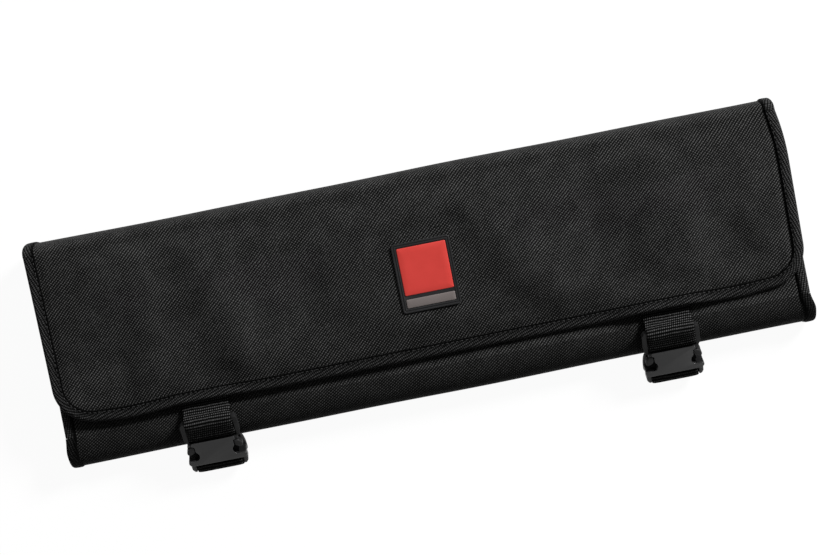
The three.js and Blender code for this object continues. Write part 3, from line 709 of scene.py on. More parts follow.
def make_flap(sizes, finishes):
    """Flap: cover, lining and the binding round its three free sides, with its row of stitches."""
    x, d = flap_grid(rows=341, columns=84, inset=COVER_INSET)
    cover = closed_sheet(flap_place(x, d, flap_relief(x, d)), np.stack([x, d], -1), COVER)
    piece("flap_cover", cover, "flap", finishes["cloth"], "flap_shell")
    x, d = flap_grid(rows=121, columns=40, inset=1.6 * MM)
    lining = flap_place(x, d, h=-1.9 * MM)[:, ::-1]
    lining = closed_sheet(lining, np.stack([x, d], -1)[:, ::-1], thickness=0.75 * MM)
    piece("flap_lining_cloth", lining, "flap", finishes["lining"], "flap_lining")

    rim, inward = panel_rim(FLAP_REACH, FLAP_CORNER, start=0.1 * MM)
    path = flap_place(*rim.T, 0.0)
    probe = 7 * MM
    turn = (flap_place(*(rim + probe * inward).T, 0.0) - path) / probe
    up = np.tile(flap_point(0.0, 0.0, 1.0) - flap_point(0.0, 0.0, 0.0), (len(path), 1))
    binding = binding_mesh(path, turn, up, FLAP_STACK, sizes.binding_width)
    piece("flap_binding", binding, "flap", finishes["tape"], "flap_tape")
    on_tape = 0.73 * MM
    seam = path + turn * (sizes.binding_width - sizes.stitch_inset) + up * on_tape
    stitches = stitch_mesh(seam, up, sizes.stitch_pitch, sizes.stitch_length, radius=0.24 * MM)
    piece("flap_stitches", stitches, "flap", finishes["thread"])


FOLD_ROWS = 321
LINING_ROWS = 121
PANEL_ROWS = 241


def flat_shape(x, share):
    """No movement, for a fold's lining."""
    return 0 * (x + share), 0 * (x + share)


def fold_wave(x):
    """The slow swell of a fold along the case: two sines and a constant."""
    return 0.5 * np.sin(x / 0.047 + 0.8) + 0.35 * np.sin(x / 0.021) + 0.45


def top_shape(x, share):
    """How far the top fold stands out, and how far its ends are drawn in towards the flap's corner."""
    out = (1.0 + 0.45 * fold_wave(x)) * MM * np.abs(np.sin(math.pi * share)) ** 1.5
    return out, -drawn_end(x) * smooth_step(share, 0.1, 0.8)


def front_shape(x, share):
    """How far the front fold stands out, more towards the left, and how far its ends reach past the flap."""
    full = 0.8 + 0.45 * fold_wave(x) + 1.5 * (1 - smooth_step(x, -0.26, 0.2))
    longer = np.where(x > 0, 2.2, 1.3) * MM * smooth_step(share, 0, 0.35) * (1 - smooth_step(share, 0.8, 1))
    return full * MM * np.abs(np.sin(math.pi * share**1.4)) ** 1.5, longer * x / HALF_LENGTH


def fold_grid(path, rows, shape, inset=COVER_INSET):
    """A fold's cover: its path repeated along the case, and moved out and along by its shape."""
    x = np.linspace(-HALF_LENGTH + inset, HALF_LENGTH - inset, rows)
    at = arc_length(path)
    out, along = shape(x[:, None], (at / at[-1])[None])
    place = path[None] - out[..., None] * left_normals(path)[None]
    place[..., 1] = np.maximum(place[..., 1], 0)
    return np.concatenate([(x[:, None] + along)[..., None], place], -1), plan(x, at)


def fold_end(path, shape, side):
    """The path of a fold's end binding, moved as its cover is, with its inward and outward directions."""
    at = arc_length(path)
    out, along = shape(np.full(len(at), side * HALF_LENGTH), at / at[-1])
    points, inward, outwards = end_path(path - out[:, None] * left_normals(path), side)
    points[:, 0] += along
    return points, inward, outwards


def bind_ends(name, body, finish, width, stack, end, squash=None):
    """The binding on each end of a panel or fold. End gives, for a side, its path and directions."""
    for side, side_name in SIDES:
        binding = binding_mesh(*end(side), stack, width)
        piece(f"{name}_binding_{side_name}", binding, body, finish, f"{body}_tape_{side_name}", squash)


def make_top_fold(sizes, finishes):
    """Top fold: its rounded cover, its lining, and the binding on each end."""
    points, uv = fold_grid(spine_path(48), FOLD_ROWS, top_shape)
    uv[..., 1] -= uv[..., 1].max()
    cover = closed_sheet(points, uv, COVER)
    piece("top_fold_cover", cover, "spine", finishes["cloth"], "spine_shell", SPINE_SQUASH)
    z = np.linspace(37 * MM, 3 * MM, 24)
    middle, deepest, bow = FLAP_HINGE[1] / 2, 67.3 * MM, 2.6 * MM
    y = deepest - bow * ((z - middle) / middle) ** 2
    lining = closed_sheet(*fold_grid(np.stack([y, z], 1), LINING_ROWS, flat_shape, LINING_INSET), LINING)
    piece("top_fold_lining", lining, "spine", finishes["lining"], "spine_lining", SPINE_SQUASH)

    def end(side):
        return fold_end(spine_path(60), top_shape, side)
    bind_ends("top_fold", "spine", finishes["tape"], sizes.binding_width, FOLD_STACK, end, SPINE_SQUASH)


def make_front_fold(sizes, finishes):
    """Front fold: its curved cover, its lining, and the binding on each end."""
    path = wall_path(44)
    cover = closed_sheet(*fold_grid(path, FOLD_ROWS, front_shape), COVER)
    # painted shade: the front fold's cloth is a darker copy of the flap's
    piece("front_fold_cover", cover, "front_wall", finishes["low_cloth"], "front_wall_shell", WALL_SQUASH)
    inner = path[6:-14]  # from under the leaf's lining to above the back's
    inner = inner + left_normals(inner) * 2.1 * MM
    lining = closed_sheet(*fold_grid(inner[::-1], LINING_ROWS, flat_shape, LINING_INSET), LINING)
    piece("front_fold_lining", lining, "front_wall", finishes["lining"], "front_wall_lining", WALL_SQUASH)

    def end(side):
        above_toe = wall_path(60)[:-4]
        return fold_end(above_toe, front_shape, side)
    # painted shade: its end tapes are a darker copy of the tape
    bind_ends("front_fold", "front_wall", finishes["low_tape"], sizes.binding_width, FOLD_STACK, end, WALL_SQUASH)


def make_back(sizes, finishes):
    """Back panel: cover, lining, and a binding on each end."""
    rows = np.linspace(-HALF_LENGTH + COVER_INSET, HALF_LENGTH - COVER_INSET, PANEL_ROWS)
    across = np.linspace(-64.6 * MM, 64.6 * MM, 80)
    to_end = HALF_LENGTH - np.abs(rows)[:, None]
    uv = plan(rows, across)
    dip = 1.1 * MM * (1 - smooth_step(to_end, 6 * MM, 16 * MM))
    cover = closed_sheet(flat_points(rows, across, dip), uv, thickness=0.5 * MM)
    piece("back_cover", cover, "back", finishes["cloth"], "back_shell")
    edge = np.minimum(to_end, 66 * MM - np.abs(across)[None])
    relief = 0.25 * MM * np.sin(rows[:, None] / 0.05) * np.sin(across[None] / 0.02) * smooth_step(edge, 0, 20 * MM)
    lining = closed_sheet(flat_points(rows, across, LINING_RISE + relief)[:, ::-1], uv[:, ::-1], LINING)
    piece("back_lining_cloth", lining, "back", finishes["lining"], "back_lining")

    def end(side):
        y = np.linspace(-64.3 * MM, 64.3 * MM, 90)
        return end_path(np.stack([y, np.full_like(y, 1.25 * MM)], 1), side)
    # painted shade: the back's end tapes are a darker copy of the tape
    bind_ends("back", "back", finishes["low_tape"], sizes.binding_width, BACK_STACK, end)


def make_leaf(sizes, finishes):
    """Front leaf: cover, lining, the binding round its free sides, and the pocket sewn on its lining."""
    rows = np.linspace(-HALF_LENGTH + COVER_INSET, HALF_LENGTH - COVER_INSET, PANEL_ROWS)
    reach = np.linspace(0, 63.6 * MM, 44)
    y = LEAF_HINGE[0] + reach
    full = smooth_step(reach, 0, 12 * MM)[None] * smooth_step(HALF_LENGTH - np.abs(rows), 6 * MM, 20 * MM)[:, None]
    relief = -0.25 * MM * (1 + np.sin(rows[:, None] / 0.06) * np.cos(reach[None] / 0.03)) * full
    uv = plan(rows, -reach)
    cover = flat_points(rows, y, LEAF_HINGE[1] + relief)[:, ::-1]
    cover = closed_sheet(cover, uv[:, ::-1], thickness=1.2 * MM)
    piece("leaf_cover", cover, "leaf", finishes["cloth"], "leaf_shell")
    lining = closed_sheet(flat_points(rows, y, LEAF_HINGE[1] - LINING_RISE - relief), uv, LINING)
    piece("leaf_lining_cloth", lining, "leaf", finishes["lining"], "leaf_lining")

    rim, inward = panel_rim(LEAF_REACH, radius=1.5 * MM, start=0.3 * MM)
    still = np.zeros(len(rim))
    path = np.column_stack([rim[:, 0], LEAF_HINGE[0] + rim[:, 1], still + LEAF_HINGE[1]])
    up = np.column_stack([still, still, still + 1])
    binding = binding_mesh(path, np.column_stack([inward, still]), up, LEAF_STACK, sizes.binding_width)
    piece("leaf_binding", binding, "leaf", finishes["tape"], "leaf_tape")
    make_pocket(
        finishes, "leaf_sleeve", "leaf_pocket", "leaf", width=48 * MM, middle=-22 * MM, seat=17.5 * MM, towards=-1,
    )


def arch_mesh(x, middle, width, seat, towards, height, shut=False, thickness=0.75 * MM):
    """A cloth arch sewn down along two sides: its height is a squared half ellipse across,
    and at a shut end it closes down along a quarter circle."""
    lift, closing = 0.35 * MM, 11 * MM
    across = np.linspace(-1, 1, 41)
    rise = np.sqrt(np.clip(1 - np.abs(across) ** 3.2, 0, 1))
    close = np.ones_like(x)
    if shut:
        near = np.clip((x - x[0]) / closing, 0, 1)
        close = np.sqrt(np.clip(1 - (1 - near) ** 2.4, 0.02, 1))
    sag = 1 - 0.06 * np.sin(x / 0.03)[:, None] * np.cos(across * math.pi / 2)[None]
    z = seat + towards * (lift + (height - 0.4 * MM) * rise[None] * close[:, None] * sag)
    y = middle + across * width / 2 * (1 - 0.02 * (1 - close.mean()))
    points, uv = flat_points(x, y, z), plan(x, arc_length(np.stack([y, height * rise], 1)))
    if towards > 0:
        points, uv = points[:, ::-1], uv[:, ::-1]
    return closed_sheet(points, uv, thickness)


def make_pocket(finishes, name, node, body, width, middle, seat, towards):
    """A blade pocket: a long cloth arch with one open end, and a taped hem at its mouth."""
    start, length = 12 * MM, 300 * MM
    x = -HALF_LENGTH + start + length * np.linspace(0, 1, 121) ** 1.15
    pocket = arch_mesh(x, middle, width, seat, towards, height=6 * MM, shut=True)
    piece(name, pocket, body, finishes["lining"], node)
    x = x[-1] - np.array([4.2, 3.6, 2.4, 1.2, 0.4, 0.0]) * MM
    hem = arch_mesh(x, middle, width + 0.2 * MM, seat, towards, height=6.5 * MM, thickness=0.4 * MM)
    piece(f"{name}_hem", hem, body, finishes["tape"])


def make_back_holders(sizes, finishes):
    """Blade pockets and handle loops on the back panel's lining."""
    width, seat = 58 * MM, 4.5 * MM
    for middle, name in ((-30.5 * MM, "lower"), (30.5 * MM, "upper")):
        make_pocket(finishes, f"blade_sleeve_{name}", f"blade_pocket_{name}", "back", width, middle, seat, 1)
        x = np.linspace(120 * MM, 150 * MM, 21)
        band = arch_mesh(x, middle, width, seat, 1, height=11.5 * MM)
        piece(f"handle_band_{name}", band, "back", finishes["elastic"], f"handle_loop_{name}")


def rounded_outline(width, height, radius):
    """Outline of a rectangle with quarter-circle corners, anticlockwise from its lower right one."""
    turn = np.linspace(0, math.pi / 2, 11)
    corners = []
    for k, (sx, sy) in enumerate(((1, -1), (1, 1), (-1, 1), (-1, -1))):
        angle = turn + (k - 1) * math.pi / 2
        x = sx * (width / 2 - radius) + radius * np.cos(angle)
        corners.append(np.stack([x, sy * (height / 2 - radius) + radius * np.sin(angle)], 1))
    return np.concatenate(corners)


def relief_plate(width, height, radius, profile, place):
    """A moulded plate from its rim to its middle: each row is the rounded outline drawn in by an inset,
    at the height the profile gives there. Place turns its plan and heights into points."""
    outlines = [
        rounded_outline(width - 2 * inset, height - 2 * inset, max(radius - inset, 0.15 * MM))
        for inset, _ in profile
    ]
    return stacked_mesh(outlines, profile, place)


# Insets and heights of the badge's parts, in millimetres
BADGE_BORDER = (
    (0.0, -1.0), (0.0, 1.0), (0.1, 1.35), (0.35, 1.5), (0.8, 1.5), (1.0, 1.4), (1.1, 1.05), (1.35, 0.95),
    (1.55, 1.0), (1.65, 1.25), (1.85, 1.35), (2.2, 1.35), (2.4, 1.25), (2.5, 0.95), (2.7, 0.85), (8.0, 0.85),
)
BADGE_INLAY = ((0.0, 0.4), (0.0, 1.0), (0.12, 1.2), (0.4, 1.28), (4.0, 1.28))


def make_badge(sizes, finishes):
    """Badge: a rubber base with a doubled raised border, a plain coloured panel and a plain strip."""
    for name, node, profile, width, height, radius, middle in (
        ("badge_plate", "badge_base", BADGE_BORDER, 37, 44, 2.2, 0),
        ("badge_field", "badge_panel", BADGE_INLAY, 31, 30, 0.8, 3.8),
        ("badge_strip", "badge_label", BADGE_INLAY, 31, 5.5, 0.8, -16.35),
    ):
        def spot(x, y, z, middle=middle):
            return flap_point(BADGE_X + x, BADGE_REACH - (y + middle * MM), BADGE_SEAT + BADGE_STAND + z)
        innermost = height / 2 - 0.3
        rows = [(min(inset, innermost) * MM, rise * MM) for inset, rise in profile]
        plate = relief_plate(width * MM, height * MM, radius * MM, rows, spot)
        piece(name, plate, "flap", finishes[node], node, sharp=50)


# The webbing's way through the buckle, in the buckle's own frame and in millimetres: up its slope and out of it
STRAP_TURNS = (
    (19.4, -4.6), (18.7, -1.7), (18.5, 0.3), (17.8, 2.1), (16.5, 3.4), (14.6, 3.9), (12.1, 3.7), (9.2, 3.2),
    (6.4, 3.0), (4.5, 2.7), (2.9, 1.6), (2.6, 0.0), (2.9, -1.6), (4.5, -2.7), (6.4, -3.0), (13.2, -3.0),
)
LOWER_STRAP_TURNS = (
    (-17.2, -1.2), (-17.2, 1.1), (-18.2, 2.7), (-20.2, 3.1), (-22.1, 2.5), (-23.0, 0.7), (-22.9, -1.2),
    (-21.4, -2.8),
)
STRAP_DEPTH = -4.8 * MM
SEWN_DEPTH = -3.7 * MM


def webbing_path(before, turns, after, count):
    """Webbing in Y and Z: points in the row's frame, its turns in the buckle's frame, and points after them."""
    up, out = np.array(turns).T * MM
    local = buckle_point(0 * up, up, out)[:, 1:]
    return resample(catmull_rom(np.array([*before, *local, *after]), 10), count)


def make_strap(sizes, finishes, side, name):
    """One strap: its sewn end under the flap, the free webbing, which is level under the flap's edge, goes over the
    frame, round its bar and back under it, the lower webbing from the hollow half to the toe, and its tab."""
    reach = np.array([109.45, 107, 102.3, 98.1, 90, 79.1]) * MM
    depth = np.repeat([STRAP_DEPTH, SEWN_DEPTH], 3)
    patch = catmull_rom(flap_point(0 * reach, reach, depth)[:, 1:], 8)
    start = flap_point(0.0, FLAP_REACH + 0.165 * MM, STRAP_DEPTH)[1:]
    free = webbing_path([start, start - np.array([2.8 * MM, 0])], STRAP_TURNS, [], 110)
    lower = webbing_path([], LOWER_STRAP_TURNS, [[-72.8 * MM, 4.6 * MM]], 60)
    wall = wall_path(120)
    wall = wall[(wall[:, 1] < 8 * MM) & (wall[:, 1] > 1.5 * MM)]
    tab = wall - left_normals(wall) * 1.0 * MM
    for label, path, body, node, squash in (
        (f"strap_end_{name}", patch, "flap", f"strap_patch_{name}", None),
        (f"strap_{name}_webbing", free, f"strap_{name}", f"strap_webbing_{name}", None),
        (f"strap_{name}_lower", lower, f"female_{name}", f"lower_webbing_{name}", None),
        (f"strap_{name}_tab", tab, "front_wall", f"strap_tab_{name}", WALL_SQUASH),
    ):
        piece(label, ribbon_mesh(path, side * STRAP_X), body, finishes["webbing"], node, squash)


def mirrored(corners):
    """Corners of the right half, from the mouth down, followed by their mirror images back up."""
    return [*corners, *((-x, y, cut) for x, y, cut in reversed(corners))]


def boxed(half, y0, y1):
    """Corners of a rectangle with small cuts."""
    return [(half, y1, 0.6), (half, y0, 0.6), (-half, y0, 0.6), (-half, y1, 0.6)]


# Corners in the buckle's own frame, in millimetres: X, Y down from the mouth, cut-back
SOCKET_RIM = (
    (12.5, -4.2, 1.6), (10.9, -5.8, 1.6), (10.7, -8.4, 2.2), (11.9, -11.1, 2.2), (18.8, -11.1, 1.9),
    (18.9, -13.5, 2.2), (17.1, -15.1, 1.8),
)
SOCKET_FACE = ((14.0, 3.1, 0.6), (14.0, 0.7, 0.5), (12.5, 0.2, 0.5), *SOCKET_RIM)
SOCKET_BED = ((12.4, -0.3, 0.3), *SOCKET_RIM)
SOCKET_BACK = ((16.0, -0.3, 1.0), (18.2, -4.0, 1.5), (19.0, -9.0, 2.0), (19.0, -15.4, 2.0), (17.4, -17.0, 1.5))
SOCKET_SIDE = ((13.7, -10.9, 0.5), (18.7, -10.9, 0.7), (18.8, -13.4, 2.0), (17.1, -15.0, 1.2), (13.7, -15.0, 0.5))
SOCKET_POST = ((15.3, -13.5, 0.4), (18.4, -13.5, 0.4), (18.3, -19.4, 0.8), (16.9, -21.5, 0.8), (15.3, -21.5, 0.5))
ARM_PAD = (
    (12.8, -0.3, 0.6), (15.8, -0.3, 1.2), (17.7, -2.6, 2.0), (18.2, -4.8, 1.4), (17.0, -6.4, 1.4), (14.6, -5.7, 1.6),
    (12.8, -4.0, 1.4),
)


def make_buckle(sizes, finishes, side, name):
    """One buckle: the webbing frame, its two latch arms with press pads, and the hollow half that takes them."""
    def slab(corners, profile, turn=1):
        def at(x, y, z):
            return buckle_point(side * STRAP_X + x, y, z)
        return slab_mesh([(turn * x, y, cut) for x, y, cut in corners], profile, at)

    plastic, darker_rougher, dark = finishes["buckle_plastic"], finishes["arm_plastic"], finishes["buckle_hollow"]
    moulded_copy(f"buckle_{name}_frame", f"male_frame_{name}", 1.4 * MM, darker_rougher, f"strap_{name}")
    parts = [
        slab(mirrored(SOCKET_FACE), rounded_profile(4.3, 5.3, 0.48)),
        slab(mirrored(SOCKET_BED), rounded_profile(2.9, 4.8, 0.2)),
        slab(mirrored(SOCKET_BACK), rounded_profile(-4.75, -2.9, 0.7)),
        slab(boxed(14.2, -16.0, -14.0), rounded_profile(-3.2, 3.2, 0.2)),
        slab(boxed(15.8, -21.4, -19.4), rounded_profile(-1.2, 1.2, 0.5)),
    ]
    for turn in (1, -1):
        parts.append(slab(SOCKET_SIDE, rounded_profile(-4.0, 4.6, 0.3), turn))
        parts.append(slab(SOCKET_POST, rounded_profile(-3.4, 3.4, 0.8), turn))
    socket = joined(parts)
    piece(f"buckle_{name}_socket", socket, f"female_{name}", plastic, f"female_body_{name}", sharp=35)
    # painted shade: a dark sheet under the windows, where the socket's hollow is in shade
    hollow = slab(boxed(16.5, -14.8, -1.2), [(0, -3.0), (0, -2.6)])
    piece(f"buckle_{name}_hollow", hollow, f"female_{name}", dark)
    for turn, letter in ((-1, "a"), (1, "b")):
        arm = f"arm_{name}_{letter}"
        # painted shade: the latch arms take the darkened plastic, so the windows look deep
        moulded_copy(f"buckle_{name}_arm_{letter}", f"latch_{arm}", 0.25 * MM, dark, arm)
        pad = slab(ARM_PAD, rounded_profile(0.5, 5.0, 0.8), turn)
        piece(f"buckle_{name}_pad_{letter}", pad, arm, darker_rougher, sharp=35)


# Stage

CAMERA_TARGET = np.array([-0.0016, 0.0047, 0.02])
CAMERA_DISTANCE = 1.1
CAMERA_LENS = 75.14
CAMERA_TILT = (0.0082, -0.0162)
CAMERA_ROLL = 0.1952
ROOM_STRENGTH = 0.08
FLOOR_GREY = 0.06
FLOOR_GLOW = 0.95
FLOOR_DROP = 0.2 * MM
WHITE = (1, 1, 1, 1)
LAMPS = (
    # name, place, size, power, aim
    ("key", (2.25, 1.6, 1.6), 0.8, 170.0, (0, 0, 0.02)),
    ("fill", (-0.5, 1.4, 0.9), 1.0, 5.0, (0, 0, 0.02)),
    ("low", (0.45, -0.75, 0.3), 0.3, 0.3, (0.148, -0.08, 0.02)),
)


def make_room(scene):
    """A world that is white where the camera sees it and lights the case only weakly."""
    world = bpy.data.worlds.new("room")
    scene.world = world
    world.use_nodes = True
    nodes = Nodes(world.node_tree)
    nodes.tree.nodes.clear()
    weak, white = (
        nodes.node("ShaderNodeBackground", {"Color": WHITE, "Strength": strength}).outputs[0]
        for strength in (ROOM_STRENGTH, 1.0)
    )
    mixed = nodes.node("ShaderNodeMixShader", enumerate((nodes.seen_directly(), weak, white))).outputs[0]
    nodes.node("ShaderNodeOutputWorld", {0: mixed})


def make_floor(context):
    """A floor that looks white to the camera and keeps the shadow."""
    bpy.ops.mesh.primitive_plane_add(size=12, location=(0, 0, -FLOOR_DROP))
    floor = context.object
    floor.name = "floor"
    paint = Finish("floor_white", 1.0, 0.0)
    paint.set("Base Color", (FLOOR_GREY, FLOOR_GREY, FLOOR_GREY, 1))
    paint.set("Emission Color", WHITE)
    paint.set("Emission Strength", paint.times(paint.seen_directly(), FLOOR_GLOW))
    floor.data.materials.append(paint.material)


def make_lamps(scene):
    """A soft key lamp from the upper right, and two weak ones."""
    for name, place, size, power, aim in LAMPS:
        data = bpy.data.lights.new(name, "AREA")
        data.shape = "DISK"
        data.size = size
        data.energy = power
        lamp = bpy.data.objects.new(name, data)
        scene.collection.objects.link(lamp)
        lamp.location = place
        lamp.rotation_euler = (Vector(place) - Vector(aim)).to_track_quat("Z", "Y").to_euler()


def make_camera(scene):
    """The photograph's camera: it looks down on the case, tilted a little and rolled."""
    data = bpy.data.cameras.new("camera")
    camera = bpy.data.objects.new("camera", data)
    scene.collection.objects.link(camera)
    scene.camera = camera
    data.lens = CAMERA_LENS
    data.sensor_width = 36
    tilt = Matrix.Rotation(math.hypot(*CAMERA_TILT), 3, (*CAMERA_TILT, 0))
    turn = (tilt @ Matrix.Rotation(CAMERA_ROLL, 3, "Z")).transposed()
    camera.matrix_world = turn.to_4x4()
    camera.location = CAMERA_TARGET + CAMERA_DISTANCE * np.array(turn.col[2])


def make_stage(context):
    """The white room and floor, the lamps and the camera."""
    context.scene.view_settings.view_transform = "Standard"
    make_room(context.scene)
    make_floor(context)
    make_lamps(context.scene)
    make_camera(context.scene)


# Add-on

def length_property(name, description, default, low, high):
    """A length, given in millimetres and kept in metres."""
    return bpy.props.FloatProperty(
        name=name, description=description, default=default * MM, min=low * MM, max=high * MM, precision=5,
        subtype="DISTANCE", unit="LENGTH",
    )


class KnifeCaseSizes(bpy.types.PropertyGroup):
    """Sizes that change the case's trim."""
    binding_width: length_property("Binding width", "Width of the folded tape on each face", 7.4, 4, 12)
    stitch_inset: length_property("Stitch inset", "From the tape's inner edge out to its stitches", 1.3, 0.5, 3)
    stitch_pitch: length_property("Stitch pitch", "From one stitch to the next", 3.1, 1.5, 6)
    stitch_length: length_property("Stitch length", "Length of one stitch", 2.4, 1, 5)
    weave_cell: length_property("Weave cell", "Width of one yarn in the case's cloth", 1.17, 0.3, 2)


def colour_property(name, description, default):
    return bpy.props.FloatVectorProperty(
        name=name, description=description, default=default, size=3, min=0, max=1, subtype="COLOR",
    )


class KnifeCaseColours(bpy.types.PropertyGroup):
    """Colours of the case's finishes."""
    cloth: colour_property("Cloth", "Yarn of the outer cloth in its hollows", (0.0012, 0.0012, 0.0012))
    # painted sheen: the lighter colour of the cloth's yarn crowns
    cloth_glint: colour_property("Cloth glint", "Yarn of the outer cloth on its crowns", (0.09, 0.09, 0.089))
    lining: colour_property("Lining", "Plain lining cloth", (0.012, 0.012, 0.0125))
    tape: colour_property("Binding", "Folded tape in its hollows", (0.0016, 0.0016, 0.0016))
    # painted sheen: the lighter colour of the tape's ribs
    tape_glint: colour_property("Binding glint", "Folded tape on its ribs", (0.085, 0.085, 0.085))
    webbing: colour_property("Webbing", "Straps in their hollows", (0.0009, 0.0009, 0.0009))
    # painted sheen: the lighter colour of the webbing's crowns
    webbing_glint: colour_property("Webbing glint", "Straps on their crowns", (0.12, 0.12, 0.12))
    plastic: colour_property("Plastic", "Buckles", (0.0085, 0.0085, 0.0088))
    rubber: colour_property("Badge rubber", "Badge's base and border", (0.007, 0.007, 0.0075))
    field: colour_property("Badge field", "Badge's coloured panel", (0.57, 0.044, 0.035))
    strip: colour_property("Badge strip", "Badge's plain strip", (0.14, 0.12, 0.115))
    thread: colour_property("Thread", "Stitches of the flap's binding", (0.02, 0.02, 0.02))
    board: colour_property("Board", "Stiffening boards inside the panels", (0.08, 0.08, 0.08))


def share_of(colour, share=1.0):
    """A colour times a share, as a tuple."""
    return tuple(share * part for part in colour)


def shell_cloth(name, sizes, colours, glint, lean):
    """The outer cloth, with a share of its painted sheen; a smaller share paints shade on it."""
    cell = (sizes.weave_cell, 0.83 * sizes.weave_cell)
    return woven(name, share_of(colours.cloth), share_of(colours.cloth_glint, glint), cell, 0.3 * MM, lean=lean)


def lining_cloth(name, sizes, colours):
    # the lighter colour is the lining's painted sheen
    light, cell = share_of(colours.lining, 3), (0.45 * MM, 0.45 * MM)
    return woven(name, share_of(colours.lining), light, cell, 0.1 * MM, roughness=0.7, gloss=0.03, twist=0.5)


def twill_tape(name, sizes, colours, glint):
    """The binding tape, with a share of its painted sheen; a smaller share paints shade on it."""
    return ribbed(
        name, share_of(colours.tape), share_of(colours.tape_glint, glint), 1.75 * MM, 0.5 * MM, slant=0.36,
        seam=1 * MM, sharpness=2.6,
    )


def elastic_tape(name, sizes, colours):
    dark, light = share_of(colours.tape), share_of(colours.tape_glint)
    return ribbed(name, dark, light, 1.4 * MM, 0.3 * MM, roughness=0.7, gloss=0.03)


def strap_webbing(name, sizes, colours):
    return ribbed(
        name, share_of(colours.webbing), share_of(colours.webbing_glint), 1.9 * MM, 0.3 * MM, cross=0.4,
        sharpness=7.0, wobble=0.12, lean=0.2,
    )


def sewing_thread(name, sizes, colours):
    return thread(name, share_of(colours.thread))


def moulding(name, sizes, colours, colour, roughness, specular, share=1.0, grain=0.02 * MM):
    """A moulded material in a share of one of the case's colours."""
    return moulded(name, share_of(getattr(colours, colour), share), roughness, specular, grain)


FINISHES = {
    # how it is made, the material's name, the slot and the settings
    "cloth": (shell_cloth, "black_woven_nylon", "nylon_shell", {"glint": 1.0, "lean": -0.094}),
    # painted shade: the front fold's cover, a darker copy of the outer cloth
    "low_cloth": (shell_cloth, "shaded_woven_nylon", "nylon_shell", {"glint": 0.62, "lean": 0.12}),
    "lining": (lining_cloth, "black_lining", "lining", {}),
    "tape": (twill_tape, "black_twill_tape", "binding_tape", {"glint": 1.0}),
    # painted shade: the end tapes of the front fold and the back, a darker copy of the tape
    "low_tape": (twill_tape, "shaded_twill_tape", "binding_tape", {"glint": 0.32}),
    "elastic": (elastic_tape, "black_elastic", "elastic", {}),
    "webbing": (strap_webbing, "black_webbing", "webbing", {}),
    "thread": (sewing_thread, "black_thread", "binding_tape", {}),
    "board": (moulding, "stiffening_board", None, {"colour": "board", "roughness": 0.7, "specular": 0.3}),
    "buckle_plastic": (
        moulding, "satin_black_plastic", "buckle_plastic",
        {"colour": "plastic", "roughness": 0.38, "specular": 0.35},
    ),
    # the buckle plastic at 0.8 of its colour, rougher and less shiny, for the frame and the pads
    "arm_plastic": (
        moulding, "worn_black_plastic", "buckle_plastic",
        {"colour": "plastic", "roughness": 0.55, "specular": 0.18, "share": 0.8},
    ),
    # painted shade: darkened plastic for the latch arms and the sheet in the socket's hollow
    "buckle_hollow": (
        moulding, "matt_black_plastic", "buckle_plastic",
        {"colour": "plastic", "roughness": 0.8, "specular": 0.05, "share": 0.2},
    ),
    "badge_base": (
        moulding, "black_badge_rubber", "badge_rubber", {"colour": "rubber", "roughness": 0.5, "specular": 0.2},
    ),
    "badge_panel": (
        moulding, "red_badge_rubber", "badge_panel",
        {"colour": "field", "roughness": 0.5, "specular": 0.3, "grain": 0.01 * MM},
    ),
    "badge_label": (
        moulding, "grey_badge_rubber", "badge_label",
        {"colour": "strip", "roughness": 0.5, "specular": 0.3, "grain": 0.01 * MM},
    ),
}


class Finishes(dict):
    """The case's materials and their slots, each made when a piece first asks for it."""

    def __init__(self, scene):
        super().__init__()
        self.scene = scene

    def __missing__(self, key):
        make, name, slot, settings = FINISHES[key]
        self[key] = make(name, self.scene.knife_case_sizes, self.scene.knife_case_colours, **settings), slot
        return self[key]


_finishes = {}


def made_with(context):
    """The scene's sizes, and its finishes."""
    scene = context.scene
    if scene.name not in _finishes:
        _finishes[scene.name] = Finishes(scene)
    return scene.knife_case_sizes, _finishes[scene.name]


class CaseOperator:
    """Shared settings of the operators that make a group of pieces."""
    bl_options = {"REGISTER", "UNDO"}


class KNIFECASE_OT_stage(CaseOperator, bpy.types.Operator):
    """Make the floor, the lamps and the camera"""
    bl_idname = "knife_case.stage"
    bl_label = "Stage"

    def execute(self, context):
        make_stage(context)
        return {"FINISHED"}


class KNIFECASE_OT_flap(CaseOperator, bpy.types.Operator):
    """Make the flap with its lining and bound edge"""
    bl_idname = "knife_case.flap"
    bl_label = "Flap"

    def execute(self, context):
        make_flap(*made_with(context))
        return {"FINISHED"}


class KNIFECASE_OT_folds(CaseOperator, bpy.types.Operator):
    """Make the top fold and the front fold with their bound ends"""
    bl_idname = "knife_case.folds"
    bl_label = "Folds"

    def execute(self, context):
        make_top_fold(*made_with(context))
        make_front_fold(*made_with(context))
        return {"FINISHED"}


class KNIFECASE_OT_back(CaseOperator, bpy.types.Operator):
    """Make the back panel with its blade sleeves and handle bands"""
    bl_idname = "knife_case.back"
    bl_label = "Back panel"

    def execute(self, context):
        make_back(*made_with(context))
        make_back_holders(*made_with(context))
        return {"FINISHED"}


class KNIFECASE_OT_leaf(CaseOperator, bpy.types.Operator):
    """Make the front leaf with its sleeve"""
    bl_idname = "knife_case.leaf"
    bl_label = "Front leaf"

    def execute(self, context):
        make_leaf(*made_with(context))
        return {"FINISHED"}


class KNIFECASE_OT_badge(CaseOperator, bpy.types.Operator):
    """Make the badge with its plain field and strip"""
    bl_idname = "knife_case.badge"
    bl_label = "Badge"

    def execute(self, context):
        make_badge(*made_with(context))
        return {"FINISHED"}


class KNIFECASE_OT_straps(CaseOperator, bpy.types.Operator):
    """Make both straps with their webbing and tabs"""
    bl_idname = "knife_case.straps"
    bl_label = "Straps"

    def execute(self, context):
        for side, name in SIDES:
            make_strap(*made_with(context), side, name)
        return {"FINISHED"}


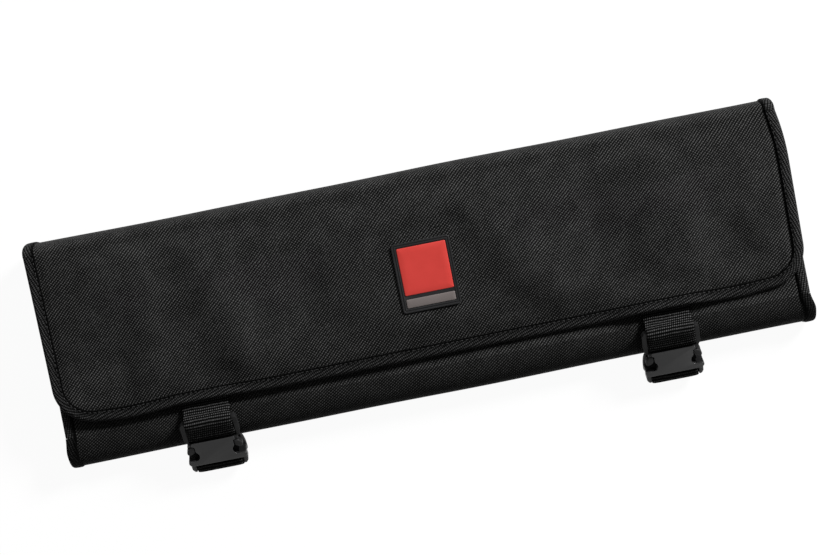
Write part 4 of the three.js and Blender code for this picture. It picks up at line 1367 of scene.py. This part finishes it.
class KNIFECASE_OT_buckles(CaseOperator, bpy.types.Operator):
    """Make both buckles"""
    bl_idname = "knife_case.buckles"
    bl_label = "Buckles"

    def execute(self, context):
        for side, name in SIDES:
            make_buckle(*made_with(context), side, name)
        return {"FINISHED"}


class KNIFECASE_OT_boards(CaseOperator, bpy.types.Operator):
    """Give the stiffening boards inside the panels their finish"""
    bl_idname = "knife_case.boards"
    bl_label = "Boards"

    def execute(self, context):
        material, _ = made_with(context)[1]["board"]
        for name in ("back_board", "leaf_board"):
            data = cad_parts[name].data
            data.materials.clear()
            data.materials.append(material)
        return {"FINISHED"}


OPERATORS = (
    KNIFECASE_OT_stage, KNIFECASE_OT_flap, KNIFECASE_OT_folds, KNIFECASE_OT_back, KNIFECASE_OT_leaf,
    KNIFECASE_OT_badge, KNIFECASE_OT_straps, KNIFECASE_OT_buckles, KNIFECASE_OT_boards,
)


class KNIFECASE_PT_panel(bpy.types.Panel):
    """Sizes, colours and pieces of the case"""
    bl_idname = "KNIFECASE_PT_panel"
    bl_label = "Knife case"
    bl_space_type = "VIEW_3D"
    bl_region_type = "UI"
    bl_category = "Knife case"

    def draw(self, context):
        for group in (context.scene.knife_case_sizes, context.scene.knife_case_colours):
            box = self.layout.box()
            for name in group.__annotations__:
                box.prop(group, name)
        for operator in OPERATORS:
            self.layout.operator(operator.bl_idname)


CLASSES = (KnifeCaseSizes, KnifeCaseColours, *OPERATORS, KNIFECASE_PT_panel)


def register():
    for made in CLASSES:
        bpy.utils.register_class(made)
    bpy.types.Scene.knife_case_sizes = bpy.props.PointerProperty(type=KnifeCaseSizes)
    bpy.types.Scene.knife_case_colours = bpy.props.PointerProperty(type=KnifeCaseColours)


def unregister():
    del bpy.types.Scene.knife_case_colours
    del bpy.types.Scene.knife_case_sizes
    for made in reversed(CLASSES):
        bpy.utils.unregister_class(made)


def main():
    register()
    for operator in OPERATORS:
        group, name = operator.bl_idname.split(".")
        getattr(getattr(bpy.ops, group), name)()


if __name__ == "__main__":
    main()
